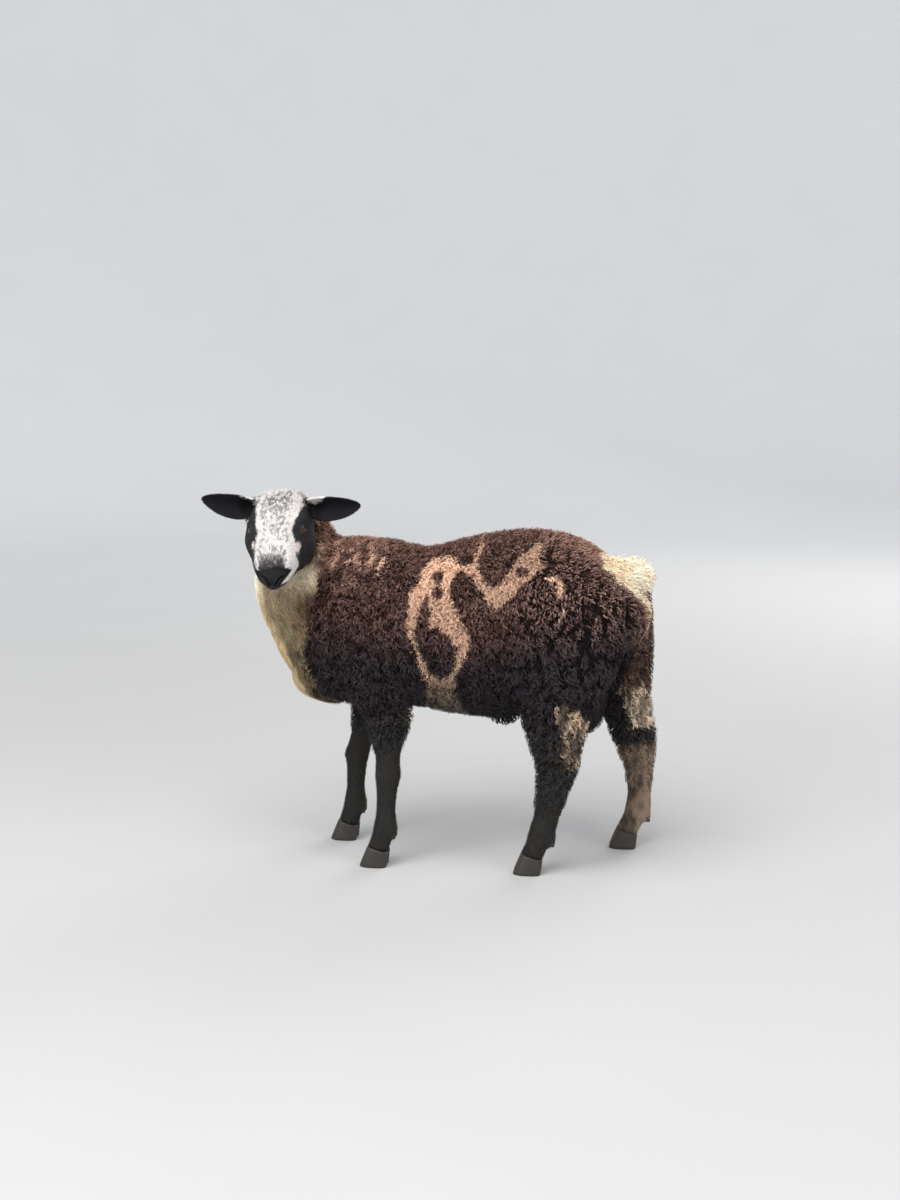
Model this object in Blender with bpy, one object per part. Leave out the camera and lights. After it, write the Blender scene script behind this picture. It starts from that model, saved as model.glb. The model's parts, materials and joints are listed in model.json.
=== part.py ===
"""A life-size standing ram lamb of a spotted Dutch breed, its head turned to its left.

Metres, +Z up. The lamb faces -X and its left side is towards -Y. The body is lofted from
a few named stations, covered with rounded clumps of fleece, joined whole, and then parted
into neck, torso, tail and legs by thin flat cuts.
"""

import math

import bmesh
import bpy
import numpy as np
from mathutils import Matrix, Vector

# Driving dimensions of the coat and of the cuts
GAP = 0.0003             # clear gap left between two pieces that touch
COAT_RISE = 0.014        # height of a fleece clump above the core of the coat
CLUMP_ROOT = 0.009       # how deep a clump is sunk into the core
CLUMP_SEED = 16
CLUMP_TRIALS = 9000      # random places tried for the clumps
CLUMP_SIDES = 6
CLUMP_PROFILE = [(0.0, 1.00), (0.52, 0.88), (0.86, 0.54)]   # height and radius of its rings
SHORT_EDGE = 0.006       # edges this short are merged once the clumps are joined
BACK_ROOM, NECK_ROOM, LEG_ROOM, TAIL_ROOM = 0.067, 0.055, 0.043, 0.034
CLUMP_LENGTH = 1.18      # a clump is longer along its lie than across it
LEAN = 0.22              # how far the tip of a clump leans along its lie

# Trunk: place along the back, height of back and of belly, half width, squareness
TRUNK = [
    (-0.296, 0.450, 0.335, 0.052, 2.0),
    (-0.275, 0.555, 0.314, 0.088, 2.1),
    (-0.225, 0.617, 0.300, 0.116, 2.2),
    (-0.150, 0.624, 0.298, 0.130, 2.3),
    (-0.080, 0.617, 0.304, 0.138, 2.3),
    (-0.035, 0.613, 0.300, 0.144, 2.2),
    (0.045, 0.630, 0.284, 0.152, 2.2),
    (0.130, 0.642, 0.282, 0.148, 2.3),
    (0.215, 0.637, 0.318, 0.140, 2.4),
    (0.275, 0.617, 0.366, 0.134, 2.4),
    (0.325, 0.588, 0.402, 0.120, 2.3),
    (0.362, 0.548, 0.430, 0.092, 2.2),
    (0.382, 0.510, 0.460, 0.045, 2.0),
]

TRUNK_SIDES = 20
TRUNK_RINGS = 16

# Neck: centre, half depth from throat to crest, half width, way it runs, way its crest looks
NECK = [
    ((-0.165, 0.000, 0.468), 0.168, 0.122, (-0.90, 0.00, 0.44), (0.44, 0.00, 0.90)),
    ((-0.222, -0.002, 0.492), 0.146, 0.108, (-0.85, -0.02, 0.53), (0.53, 0.00, 0.85)),
    ((-0.264, -0.006, 0.526), 0.122, 0.094, (-0.72, -0.12, 0.68), (0.66, 0.08, 0.74)),
    ((-0.290, -0.016, 0.566), 0.100, 0.082, (-0.46, -0.38, 0.80), (0.50, 0.36, 0.78)),
    ((-0.302, -0.024, 0.612), 0.098, 0.075, (-0.14, -0.78, 0.61), (0.15, 0.52, 0.84)),
    ((-0.309, -0.054, 0.636), 0.076, 0.062, (0.00, -0.94, 0.33), (0.00, 0.40, 0.92)),
]

# Head frame: a point inside the poll, which way the face looks and how steep it hangs
HEAD_AT = Vector((-0.312, -0.053, 0.683))
FACE_YAW = math.radians(6.0)
FACE_DROP = math.radians(35.0)
FACE_LEVEL = Vector((math.sin(FACE_YAW), -math.cos(FACE_YAW), 0.0))
MUZZLE_WAY = FACE_LEVEL * math.cos(FACE_DROP) - Vector((0, 0, math.sin(FACE_DROP)))
CROWN_WAY = FACE_LEVEL * math.sin(FACE_DROP) + Vector((0, 0, math.cos(FACE_DROP)))
LEFT_WAY = CROWN_WAY.cross(MUZZLE_WAY)

# Head: distance from the poll, height of brow line and of jaw line, half width, squareness
HEAD = [
    (-0.053, -0.024, -0.052, 0.018, 2.0),
    (-0.042, -0.002, -0.064, 0.040, 2.1),
    (-0.020, 0.023, -0.076, 0.053, 2.2),
    (0.015, 0.038, -0.088, 0.0585, 2.3),
    (0.050, 0.047, -0.091, 0.0600, 2.5),
    (0.085, 0.0465, -0.082, 0.0595, 2.5),
    (0.115, 0.039, -0.068, 0.0505, 2.4),
    (0.145, 0.031, -0.052, 0.0410, 2.3),
    (0.170, 0.0245, -0.039, 0.0350, 2.3),
    (0.187, 0.0175, -0.030, 0.0295, 2.3),
    (0.198, 0.0095, -0.0240, 0.0230, 2.2),
    (0.2045, 0.0020, -0.0175, 0.0150, 2.0),
    (0.2070, -0.0040, -0.0115, 0.0055, 2.0),
]
JAW_TAPER = 0.30         # how much narrower the head is at the jaw line
HEAD_SIDES = 26
HEAD_RINGS = 25

# Forms of the face: distance from the poll, sideways, height, three spreads, rise
FACE_FORMS = [
    (0.070, 0.052, 0.038, 0.017, 0.014, 0.012, 0.0050),    # brow over the eye
    (0.090, 0.060, 0.020, 0.014, 0.014, 0.011, -0.0050),   # eye socket
    (0.100, 0.055, -0.004, 0.026, 0.014, 0.009, 0.0022),   # cheek bone
    (0.058, 0.052, -0.055, 0.032, 0.022, 0.026, 0.0080),   # chewing muscle
    (0.130, 0.042, -0.016, 0.018, 0.014, 0.014, -0.0035),  # hollow before it
    (0.190, 0.018, 0.008, 0.010, 0.008, 0.008, 0.0028),    # wing of the nostril
    (0.186, 0.028, -0.012, 0.013, 0.010, 0.006, 0.0026),   # upper lip
    (0.180, 0.018, -0.032, 0.015, 0.014, 0.006, 0.0020),   # chin
]

# Places on the face are a distance from the poll and a height, found on the skin itself
EYE_AT = (0.0870, 0.0215)
EYE_RADIUS = 0.0138
EYE_DEPTH = 0.0108       # how far the middle of the eyeball lies below the skin
LID_RADIUS = 0.0125
LID_THICK = 0.0027
LID_SQUASH = 0.72
MOUTH = [(0.142, -0.0215), (0.160, -0.0215), (0.177, -0.0200), (0.191, -0.0175), (0.2005, -0.0150)]
MOUTH_FRONT = (0.2068, -0.0118)
MOUTH_WIDE = 0.0016
NOSTRIL_AT = (0.1965, 0.0015)
NOSTRIL_SIZE = (0.0072, 0.0026, 0.0042)

# Ear: share of its length, chord, depth of the cup, thickness
EAR = [
    (0.00, 0.030, 0.0150, 0.0060),
    (0.10, 0.036, 0.0155, 0.0055),
    (0.20, 0.043, 0.0152, 0.0048),
    (0.36, 0.050, 0.0145, 0.0042),
    (0.54, 0.048, 0.0122, 0.0038),
    (0.72, 0.039, 0.0092, 0.0036),
    (0.87, 0.0245, 0.0055, 0.0034),
    (0.965, 0.010, 0.0020, 0.0030),
    (1.00, 0.003, 0.0005, 0.0022),
]
EAR_ROOT = (0.016, 0.040, 0.015)
EAR_LENGTH = 0.109
EAR_RISE = {"left": 0.02, "right": 0.075}
EAR_ARC_POINTS = 6

# Legs: place along the back, sideways, height, half length front to back, half width
FORE_UPPER = [
    (-0.140, 0.078, 0.420, 0.060, 0.040),
    (-0.128, 0.080, 0.345, 0.050, 0.038),
]
FORE_LOWER = [
    (0.300, 0.0370, 0.0330),
    (0.250, 0.0280, 0.0260),
    (0.208, 0.0230, 0.0220),
    (0.178, 0.0245, 0.0235),
    (0.150, 0.0200, 0.0190),
    (0.112, 0.0180, 0.0170),
    (0.078, 0.0215, 0.0200),
    (0.055, 0.0190, 0.0190),
    (0.034, 0.0205, 0.0215),
]
FORE_LEAN = {"left": (-0.109, -0.109, -0.118), "right": (-0.158, -0.196, -0.204)}
HIND = {
    "left": [
        (0.250, 0.070, 0.520, 0.110, 0.058),
        (0.232, 0.082, 0.420, 0.102, 0.058),
        (0.216, 0.088, 0.340, 0.082, 0.050),
        (0.208, 0.090, 0.285, 0.062, 0.041),
        (0.211, 0.091, 0.240, 0.044, 0.032),
        (0.213, 0.091, 0.205, 0.034, 0.027),
        (0.205, 0.091, 0.165, 0.026, 0.023),
        (0.195, 0.091, 0.120, 0.0235, 0.0215),
        (0.185, 0.091, 0.080, 0.0250, 0.0225),
        (0.175, 0.091, 0.055, 0.0205, 0.0205),
        (0.167, 0.091, 0.034, 0.0210, 0.0225),
    ],
    "right": [
        (0.270, 0.070, 0.520, 0.110, 0.058),
        (0.290, 0.080, 0.420, 0.092, 0.058),
        (0.312, 0.088, 0.340, 0.068, 0.050),
        (0.330, 0.090, 0.285, 0.052, 0.041),
        (0.344, 0.091, 0.240, 0.042, 0.032),
        (0.353, 0.091, 0.205, 0.033, 0.027),
        (0.358, 0.091, 0.165, 0.0245, 0.0230),
        (0.360, 0.091, 0.120, 0.0220, 0.0210),
        (0.359, 0.091, 0.080, 0.0245, 0.0225),
        (0.349, 0.091, 0.055, 0.0205, 0.0205),
        (0.342, 0.091, 0.034, 0.0210, 0.0225),
    ],
}
LEG_SIDES = 10
LEG_RINGS = 21
SIDE_SIGN = {"left": -1, "right": 1}

# Hoof: each foot stands on two claws under a tilted coronet
CORONET_TILT = math.radians(16.0)
CLAW_GAP = 0.0036
CLAW_TOP = (0.0200, 0.0098)
CLAW_SOLE = (0.0265, 0.0112)
CLAW_REACH = 0.0095      # how far the sole lies ahead of the coronet
CLAW_SIDES = 12
DEWCLAW = (0.0085, 0.0065, 0.0110)
DEWCLAW_HEIGHT = 0.062

# Tail: place along the back, height, radius
TAIL = [
    (0.262, 0.552, 0.020),
    (0.295, 0.556, 0.026),
    (0.328, 0.554, 0.0265),
    (0.354, 0.546, 0.0250),
    (0.371, 0.534, 0.0190),
    (0.380, 0.523, 0.0080),
]

SCROTUM_AT = (0.262, 0.0, 0.318)
SCROTUM_SIZE = (0.034, 0.031, 0.062)
SHEATH_AT = (0.098, 0.0, 0.292)
SHEATH_SIZE = (0.040, 0.017, 0.016)

# Regions that part the whole body: an outline along the back and up, and its bounds sideways.
# The head's outline is in its own frame: distance from the poll, and height.
REGIONS = {
    "head": ([(-0.078, 0.10), (0.26, 0.10), (0.26, -0.098), (0.030, -0.098)], -0.079, 0.079),
    "neck": ([(-0.043, 0.794), (-0.351, 0.315), (-0.60, 0.315), (-0.60, 0.794)], -0.30, 0.30),
    "tail": ([(0.312, 0.62), (0.46, 0.62), (0.46, 0.505), (0.367, 0.505)], -0.046, 0.046),
    "scrotum": ([(0.222, 0.362), (0.302, 0.362), (0.302, 0.20), (0.222, 0.20)], -0.0335, 0.0335),
    "foreleg": ([(-0.210, 0.297), (-0.040, 0.297), (-0.040, -0.02), (-0.300, -0.02)], 0.016, 0.26),
    "thigh_left": ([(0.172, 0.402), (0.345, 0.402), (0.345, 0.252), (0.120, 0.252)], 0.034, 0.26),
    "thigh_right": ([(0.215, 0.402), (0.400, 0.402), (0.420, 0.252), (0.215, 0.252)], 0.034, 0.26),
    "shank": ([(0.08, 0.2517), (0.44, 0.2517), (0.44, -0.02), (0.08, -0.02)], 0.034, 0.26),
}

PAINTS = {
    "head": "white hair",
    "neck": "cream fleece",
    "tail": "cream fleece",
    "torso": "brown fleece",
    "thigh": "brown fleece",
    "shank": "mottled hair",
    "foreleg": "black hair",
    "ear": "black hair",
    "eye": "dark eye",
    "claw": "dark horn",
    "dewclaw": "dark horn",
    "scrotum": "black hair",
}
COLOURS = {
    "brown fleece": (0.060, 0.022, 0.016),
    "cream fleece": (0.560, 0.430, 0.290),
    "black hair": (0.010, 0.009, 0.011),
    "white hair": (0.760, 0.740, 0.720),
    "mottled hair": (0.090, 0.055, 0.040),
    "dark horn": (0.030, 0.026, 0.024),
    "dark eye": (0.040, 0.022, 0.008),
}


def clear_scene():
    """Removes the objects that the file opened with."""
    for obj in list(bpy.data.objects):
        bpy.data.objects.remove(obj)


def collection(name):
    """A new collection in the scene."""
    made = bpy.data.collections.new(name)
    bpy.context.scene.collection.children.link(made)
    return made


def material(name):
    """A matt Principled material of that colour."""
    found = bpy.data.materials.get(name)
    if found:
        return found
    made = bpy.data.materials.new(name)
    made.use_nodes = True
    shader = made.node_tree.nodes["Principled BSDF"]
    shader.inputs["Base Color"].default_value = (*COLOURS[name], 1.0)
    shader.inputs["Roughness"].default_value = 0.25 if "eye" in name else 0.9
    shader.inputs["Metallic"].default_value = 0.0
    return made


def mesh_object(name, points, faces, home):
    """A mesh object with its normals turned outwards."""
    mesh = bpy.data.meshes.new(name)
    mesh.from_pydata([tuple(p) for p in points], [], faces)
    shaped = bmesh.new()
    shaped.from_mesh(mesh)
    bmesh.ops.recalc_face_normals(shaped, faces=shaped.faces)
    bmesh.ops.triangulate(shaped, faces=shaped.faces)
    shaped.to_mesh(mesh)
    shaped.free()
    obj = bpy.data.objects.new(name, mesh)
    home.objects.link(obj)
    return obj


def smooth_table(rows, count):
    """Rows of numbers read from a Catmull-Rom curve through the given rows."""
    rows = np.array(rows, float)
    padded = np.vstack([2 * rows[0] - rows[1], rows, 2 * rows[-1] - rows[-2]])
    at = np.linspace(0, len(rows) - 1, count)
    i = np.minimum(at.astype(int), len(rows) - 2)
    t = (at - i)[:, None]
    a, b, c, d = (padded[i + k] for k in range(4))
    return 0.5 * (2 * b + (c - a) * t + (2 * a - 5 * b + 4 * c - d) * t**2
                  + (3 * b - a - 3 * c + d) * t**3)


def round_section(sides, squareness):
    """Cosine and sine round a superellipse of half size 1."""
    angle = np.arange(sides) * 2 * math.pi / sides
    power = 2.0 / squareness
    across = np.sign(np.cos(angle)) * np.abs(np.cos(angle)) ** power
    up = np.sign(np.sin(angle)) * np.abs(np.sin(angle)) ** power
    return across, up


def loft(name, rings, home):
    """One closed skin through rings of equal count, with a flat fan at each end."""
    sides = len(rings[0])
    points = [p for ring in rings for p in ring]
    faces = []
    for k in range(len(rings) - 1):
        for j in range(sides):
            n = (j + 1) % sides
            faces.append((k * sides + j, k * sides + n, (k + 1) * sides + n, (k + 1) * sides + j))
    for first, ring in ((0, rings[0]), ((len(rings) - 1) * sides, rings[-1])):
        centre = len(points)
        points.append(np.mean(ring, axis=0))
        faces += [(first + j, first + (j + 1) % sides, centre) for j in range(sides)]
    return mesh_object(name, points, faces, home)


def trunk_core(home, inset):
    """The trunk from breast to buttocks, inside the tips of the coat by inset."""
    rings = []
    for x, back, belly, wide, square in smooth_table(TRUNK, TRUNK_RINGS):
        across, up = round_section(TRUNK_SIDES, square)
        middle, tall = (back + belly) / 2, (back - belly) / 2
        x -= inset * (x - 0.04) / 0.34
        rings.append(np.stack([np.full(TRUNK_SIDES, x), (wide - inset) * across,
                               middle + (tall - inset) * up], 1))
    return loft("trunk_core", rings, home)


def neck_core(home, inset):
    """The neck, each section turned a little further towards the head."""
    table = smooth_table([(*c, d, w, *run, *crest) for c, d, w, run, crest in NECK], 10)
    rings = []
    for row in table:
        run = Vector(row[5:8]).normalized()
        crest = Vector(row[8:11])
        crest = (crest - run * crest.dot(run)).normalized()
        side = run.cross(crest)
        across, up = round_section(16, 2.1)
        rings.append(np.array(row[:3]) + np.outer(across * (row[4] - inset), side)
                     + np.outer(up * (row[3] - inset), crest))
    return loft("neck_core", rings, home)


def head_place(s, side, height):
    """A point of the head frame in the world."""
    return HEAD_AT + MUZZLE_WAY * s + LEFT_WAY * side + CROWN_WAY * height


def head_section(row, sides, grow=0.0):
    """Sideways and height round one section of the head, raised by the forms of the face."""
    s, brow, jaw, wide, square = row
    across, up = round_section(sides, square)
    middle, tall = (brow + jaw) / 2, (brow - jaw) / 2
    side = wide * across * (1 - JAW_TAPER * np.clip(-up, 0, 1) ** 1.4)
    height = middle + tall * up
    reach = np.hypot(side, height - middle) + 1e-9
    rise = np.full(sides, grow)
    for fs, fv, fu, ds, dv, du, amount in FACE_FORMS:
        rise += amount * np.exp(-((s - fs) / ds) ** 2 - ((np.abs(side) - fv) / dv) ** 2
                                - ((height - fu) / du) ** 2)
    return side * (1 + rise / reach), middle + (height - middle) * (1 + rise / reach)


def head_rings(grow):
    """Every section of the head in the world, all round larger by grow."""
    rings = []
    for row in smooth_table(HEAD, HEAD_RINGS):
        side, height = head_section(row, HEAD_SIDES, grow)
        rings.append(np.array([head_place(row[0], a, b) for a, b in zip(side, height)]))
    return rings


def face_point(at, sign):
    """The point of the skin at that distance from the poll and that height, on one side."""
    rows = smooth_table(HEAD, 401)
    row = rows[np.abs(rows[:, 0] - at[0]).argmin()]
    side, height = head_section(row, 721)
    far = np.abs(height - at[1]) + np.where(side >= 0, 0, 1)
    return head_place(at[0], sign * side[far.argmin()], at[1])


def tube_through(name, places, radius, home):
    """A round tube through the places, as a closed mesh."""
    curve = bpy.data.curves.new(name, "CURVE")
    curve.dimensions = "3D"
    curve.bevel_depth = radius
    curve.bevel_resolution = 0
    curve.use_fill_caps = True
    spline = curve.splines.new("POLY")
    spline.points.add(len(places) - 1)
    for point, place in zip(spline.points, places):
        point.co = (*place, 1.0)
    guide = bpy.data.objects.new(name + "_curve", curve)
    home.objects.link(guide)
    bpy.context.view_layer.update()
    graph = bpy.context.evaluated_depsgraph_get()
    mesh = bpy.data.meshes.new_from_object(guide.evaluated_get(graph))
    bpy.data.objects.remove(guide)
    welded = bmesh.new()
    welded.from_mesh(mesh)
    bmesh.ops.remove_doubles(welded, verts=welded.verts, dist=1e-6)
    bmesh.ops.recalc_face_normals(welded, faces=welded.faces)
    welded.to_mesh(mesh)
    welded.free()
    obj = bpy.data.objects.new(name, mesh)
    home.objects.link(obj)
    return obj


def ball(name, place, sizes, home, axes=None, segments=12, rings=8):
    """An ellipsoid with half sizes along the given axes."""
    shaped = bmesh.new()
    bmesh.ops.create_uvsphere(shaped, u_segments=segments, v_segments=rings, radius=1.0)
    turn = Matrix(axes).transposed() if axes else Matrix.Identity(3)
    scaled = turn @ Matrix.Diagonal(Vector(sizes))
    shaped.transform(Matrix.Translation(Vector(place)) @ scaled.to_4x4())
    if turn.determinant() < 0:
        bmesh.ops.reverse_faces(shaped, faces=shaped.faces)
    mesh = bpy.data.meshes.new(name)
    shaped.to_mesh(mesh)
    shaped.free()
    obj = bpy.data.objects.new(name, mesh)
    home.objects.link(obj)
    return obj


def ring_round(name, place, axis, across, major, minor, squash, home):
    """A ring about an axis, flatter across by squash: the lids of one eye."""
    axis = axis.normalized()
    across = (across - axis * across.dot(axis)).normalized()
    other = axis.cross(across)
    rings = []
    for a in np.arange(16) * 2 * math.pi / 16:
        out = across * math.cos(a) + other * math.sin(a) * squash
        hub = place + out * major
        rings.append([hub + (out.normalized() * math.cos(b) + axis * math.sin(b)) * minor
                      for b in np.arange(6) * 2 * math.pi / 6])
    points = [p for ring in rings for p in ring]
    faces = [(i * 6 + j, ((i + 1) % 16) * 6 + j, ((i + 1) % 16) * 6 + (j + 1) % 6, i * 6 + (j + 1) % 6)
             for i in range(16) for j in range(6)]
    return mesh_object(name, points, faces, home)


def evaluated(obj, name, home):
    """The object's mesh with its modifiers applied, as a new object; the old one goes."""
    bpy.context.view_layer.update()
    graph = bpy.context.evaluated_depsgraph_get()
    mesh = bpy.data.meshes.new_from_object(obj.evaluated_get(graph))
    mesh.name = name
    bpy.data.objects.remove(obj)
    made = bpy.data.objects.new(name, mesh)
    home.objects.link(made)
    return made


def joined(base, others, name, home):
    """One Boolean union of base with every object of the collection others."""
    union = base.modifiers.new("join", "BOOLEAN")
    union.operation = "UNION"
    union.operand_type = "COLLECTION"
    union.collection = others
    union.solver = "MANIFOLD"
    made = evaluated(base, name, home)
    for obj in list(others.objects):
        bpy.data.objects.remove(obj)
    bpy.data.collections.remove(others)
    return made


def cut(source, cutters, name, home, operation="DIFFERENCE"):
    """A copy of source less, or within, each cutter."""
    copy = bpy.data.objects.new(name, source.data.copy())
    home.objects.link(copy)
    for cutter in cutters:
        step = copy.modifiers.new("cut", "BOOLEAN")
        step.operation = operation
        step.object = cutter
        step.solver = "MANIFOLD"
    made = evaluated(copy, name, home)
    keep_largest(made.data)
    return made


def keep_largest(mesh):
    """Drops all but the closed surface with the most faces."""
    shaped = bmesh.new()
    shaped.from_mesh(mesh)
    bmesh.ops.triangulate(shaped, faces=shaped.faces)
    left, groups = set(shaped.verts), []
    while left:
        seed = left.pop()
        group, edge = {seed}, [seed]
        while edge:
            for link in edge.pop().link_edges:
                for vert in link.verts:
                    if vert in left:
                        left.discard(vert)
                        group.add(vert)
                        edge.append(vert)
        groups.append(group)
    keep = max(groups, key=len)
    bmesh.ops.delete(shaped, geom=[v for v in shaped.verts if v not in keep], context="VERTS")
    shaped.to_mesh(mesh)
    shaped.free()


def merge_short_edges(mesh, limit):
    """Merges the ends of short edges, shortest first, where the skin stays closed and unfolded."""
    shaped = bmesh.new()
    shaped.from_mesh(mesh)
    bmesh.ops.triangulate(shaped, faces=shaped.faces)
    points = np.array([v.co for v in shaped.verts])
    faces = {f.index: [v.index for v in f.verts] for f in shaped.faces}
    edges = sorted((e.calc_length(), e.verts[0].index, e.verts[1].index) for e in shaped.edges)
    shaped.free()
    around = [set() for _ in points]
    for index, corners in faces.items():
        for v in corners:
            around[v].add(index)

    def neighbours(v):
        return {w for f in around[v] for w in faces[f]} - {v}

    def normal(corners):
        a, b, c = points[corners]
        return np.cross(b - a, c - a)

    gone = set()
    for length, keep, drop in edges:
        if length > limit:
            break
        if keep in gone or drop in gone or np.linalg.norm(points[keep] - points[drop]) > limit:
            continue
        shared = around[keep] & around[drop]
        if len(shared) != 2 or len(neighbours(keep) & neighbours(drop)) != 2:
            continue
        moving = (around[keep] | around[drop]) - shared
        before = {f: normal(faces[f]) for f in moving}
        old = points[keep].copy(), points[drop].copy()
        points[keep] = points[drop] = (old[0] + old[1]) / 2
        after = {f: normal(faces[f]) for f in moving}
        if any(np.dot(before[f], after[f]) < 0.35 * np.linalg.norm(before[f]) * np.linalg.norm(after[f])
               or np.linalg.norm(after[f]) < 4e-7 for f in moving):
            points[keep], points[drop] = old
            continue
        for f in shared:
            for v in faces.pop(f):
                around[v].discard(f)
        for f in list(around[drop]):
            faces[f] = [keep if v == drop else v for v in faces[f]]
            around[keep].add(f)
        around[drop] = set()
        gone.add(drop)
    used = sorted({v for corners in faces.values() for v in corners})
    place = {v: i for i, v in enumerate(used)}
    merged = [[place[v] for v in corners] for corners in faces.values()]
    mesh.clear_geometry()
    mesh.from_pydata([tuple(points[v]) for v in used], [], merged)


def slab(name, place, normal, home, sizes=(1.0, 1.0, 1.0), grow=0.0):
    """A box whose near face lies on the plane through place, reaching out along normal."""
    normal = Vector(normal).normalized()
    turn = normal.to_track_quat("Z", "Y").to_matrix().to_4x4()
    shaped = bmesh.new()
    bmesh.ops.create_cube(shaped, size=1.0)
    wide, deep, long = sizes
    shaped.transform(Matrix.Translation((0, 0, 0.5)))
    shaped.transform(Matrix.Diagonal((wide + 2 * grow, deep + 2 * grow, long + grow, 1)))
    shaped.transform(Matrix.Translation(Vector(place) - normal * grow) @ turn)
    mesh = bpy.data.meshes.new(name)
    shaped.to_mesh(mesh)
    shaped.free()
    obj = bpy.data.objects.new(name, mesh)
    home.objects.link(obj)
    return obj


def prism(name, outline, low, high, home, grow=0.0, frame=None):
    """A closed prism on a convex outline, from low to high across it, every face out by grow.

    The frame is a place and three ways: along the outline's two numbers and across them.
    """
    flat = np.array(outline, float)
    edge = np.roll(flat, -1, axis=0) - flat
    turn = np.sign(edge[0, 0] * edge[1, 1] - edge[0, 1] * edge[1, 0])
    out = turn * np.stack([edge[:, 1], -edge[:, 0]], 1) / np.linalg.norm(edge, axis=1)[:, None]
    before = np.roll(out, 1, axis=0)
    flat = flat + grow * (out + before) / (1 + (out * before).sum(axis=1))[:, None]
    place, along, above, across = frame or (Vector(), Vector((1, 0, 0)), Vector((0, 0, 1)), Vector((0, 1, 0)))
    rings = [np.array([place + along * a + above * b + across * side for a, b in flat])
             for side in (low - grow, high + grow)]
    return loft(name, rings, home)


def leg_rings(rows, count, sign, grow=0.0):
    """Level sections down a leg; the last one tilts with the coronet."""
    rings = []
    table = smooth_table(rows, count)
    across, up = round_section(LEG_SIDES, 2.1)
    for k, (x, y, z, long, wide) in enumerate(table):
        ring = np.stack([x + (long + grow) * across, sign * (y + (wide + grow) * up),
                         np.full(LEG_SIDES, z)], 1)
        if k == count - 1:
            ring[:, 2] = z - (ring[:, 0] - x) * math.tan(CORONET_TILT)
        rings.append(ring)
    return rings


def fore_rows(side):
    """Stations of one foreleg, from inside the shoulder to the coronet."""
    elbow, knee, foot = FORE_LEAN[side]
    rows = [(x + (elbow - FORE_LEAN["left"][0]) * 0.5, y, z, long, wide)
            for x, y, z, long, wide in FORE_UPPER]
    for z, long, wide in FORE_LOWER:
        share = (0.300 - z) / (0.300 - 0.178)
        x = elbow + (knee - elbow) * min(share, 1.0)
        if share > 1:
            x = knee + (foot - knee) * (0.178 - z) / (0.178 - 0.034)
        if z < 0.07:
            x -= 0.010 * (0.078 - z) / 0.044
        rows.append((x, 0.080, z, long, wide))
    return rows


def claw(name, foot, inner, sign, home):
    """One claw: a flat sole on the floor, walls that slope up to the tilted coronet."""
    x, y, z = foot
    aside = (CLAW_GAP / 2 + CLAW_SOLE[1]) * (-1 if inner else 1)
    rings = []
    across, up = round_section(CLAW_SIDES, 2.5)
    for share in (0.0, 0.12, 1.0):
        rise = 0.006 if share == 0.12 else 0.0
        long = CLAW_SOLE[0] + (CLAW_TOP[0] - CLAW_SOLE[0]) * share + (0.0006 if rise else 0.0)
        wide = CLAW_SOLE[1] + (CLAW_TOP[1] - CLAW_SOLE[1]) * share
        middle = x - CLAW_REACH * (1 - share)
        ring = np.stack([middle + long * across, sign * (y + aside) + wide * up * sign,
                         np.full(CLAW_SIDES, rise)], 1)
        toe = np.clip(-across, 0, 1) ** 2
        ring[:, 1] -= sign * aside * toe * 0.30
        if share == 1.0:
            ring[:, 2] = z - (ring[:, 0] - x) * math.tan(CORONET_TILT) - GAP
        rings.append(ring)
    return loft(name, rings, home)


def ear(name, side, head_cutter, home):
    """One ear: crescent sections from a rolled root to a leaf tip, clear of the head."""
    sign = 1 if side == "left" else -1
    root = head_place(EAR_ROOT[0], sign * EAR_ROOT[1], EAR_ROOT[2])
    along = (LEFT_WAY * sign + Vector((0, 0, EAR_RISE[side])) - FACE_LEVEL * 0.10).normalized()
    opening = (FACE_LEVEL - Vector((0, 0, 0.28))).normalized()
    opening = (opening - along * opening.dot(along)).normalized()
    wide_way = along.cross(opening)
    rings = []
    angles = np.linspace(-1, 1, EAR_ARC_POINTS)
    for share, chord, cup, thick in smooth_table(EAR, 13):
        bow = along * share * EAR_LENGTH + Vector((0, 0, -0.010)) * share * (1 - share) * 2
        edge = 1 - 0.55 * np.abs(angles) ** 3
        outer = [root + bow + wide_way * (a * chord / 2) + opening * (-cup * (1 - a * a) - thick * e / 2)
                 for a, e in zip(angles, edge)]
        inner = [root + bow + wide_way * (a * chord * 0.46) + opening * (-cup * (1 - a * a) + thick * e / 2)
                 for a, e in zip(angles, edge)]
        rings.append(np.array(outer + inner[::-1]))
    whole = loft(name + "_whole", rings, home)
    made = cut(whole, [head_cutter], name, home)
    bpy.data.objects.remove(whole)
    return made


def coat_here(p):
    """Spacing of the clumps at a point of the core, or 0 where the hair is short."""
    head = (p - HEAD_AT).dot(MUZZLE_WAY)
    if p.y < -0.03 and head > 0.012 and p.z > 0.52 and p.x < -0.2 and abs((p - HEAD_AT).dot(LEFT_WAY)) < 0.09:
        return 0.0
    if p.x < 0.05 and p.z < 0.285:
        return 0.0
    if p.z < 0.225 or (abs(p.y) < 0.036 and p.z < 0.365 and 0.22 < p.x < 0.31):
        return 0.0
    if p.x > 0.325 and p.z > 0.50 and abs(p.y) < 0.05:
        return TAIL_ROOM
    if p.z < 0.300 and p.x > 0.12:
        return LEG_ROOM
    if p.x < -0.20:
        return NECK_ROOM
    return BACK_ROOM


def lie_at(p, normal):
    """The way the coat lies: down and back over the body, back along the spine."""
    way = Vector((0.45, 0.0, -1.0)) if abs(normal.z) < 0.75 else Vector((1.0, 0.0, -0.1))
    return (way - normal * way.dot(normal)).normalized()


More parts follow.
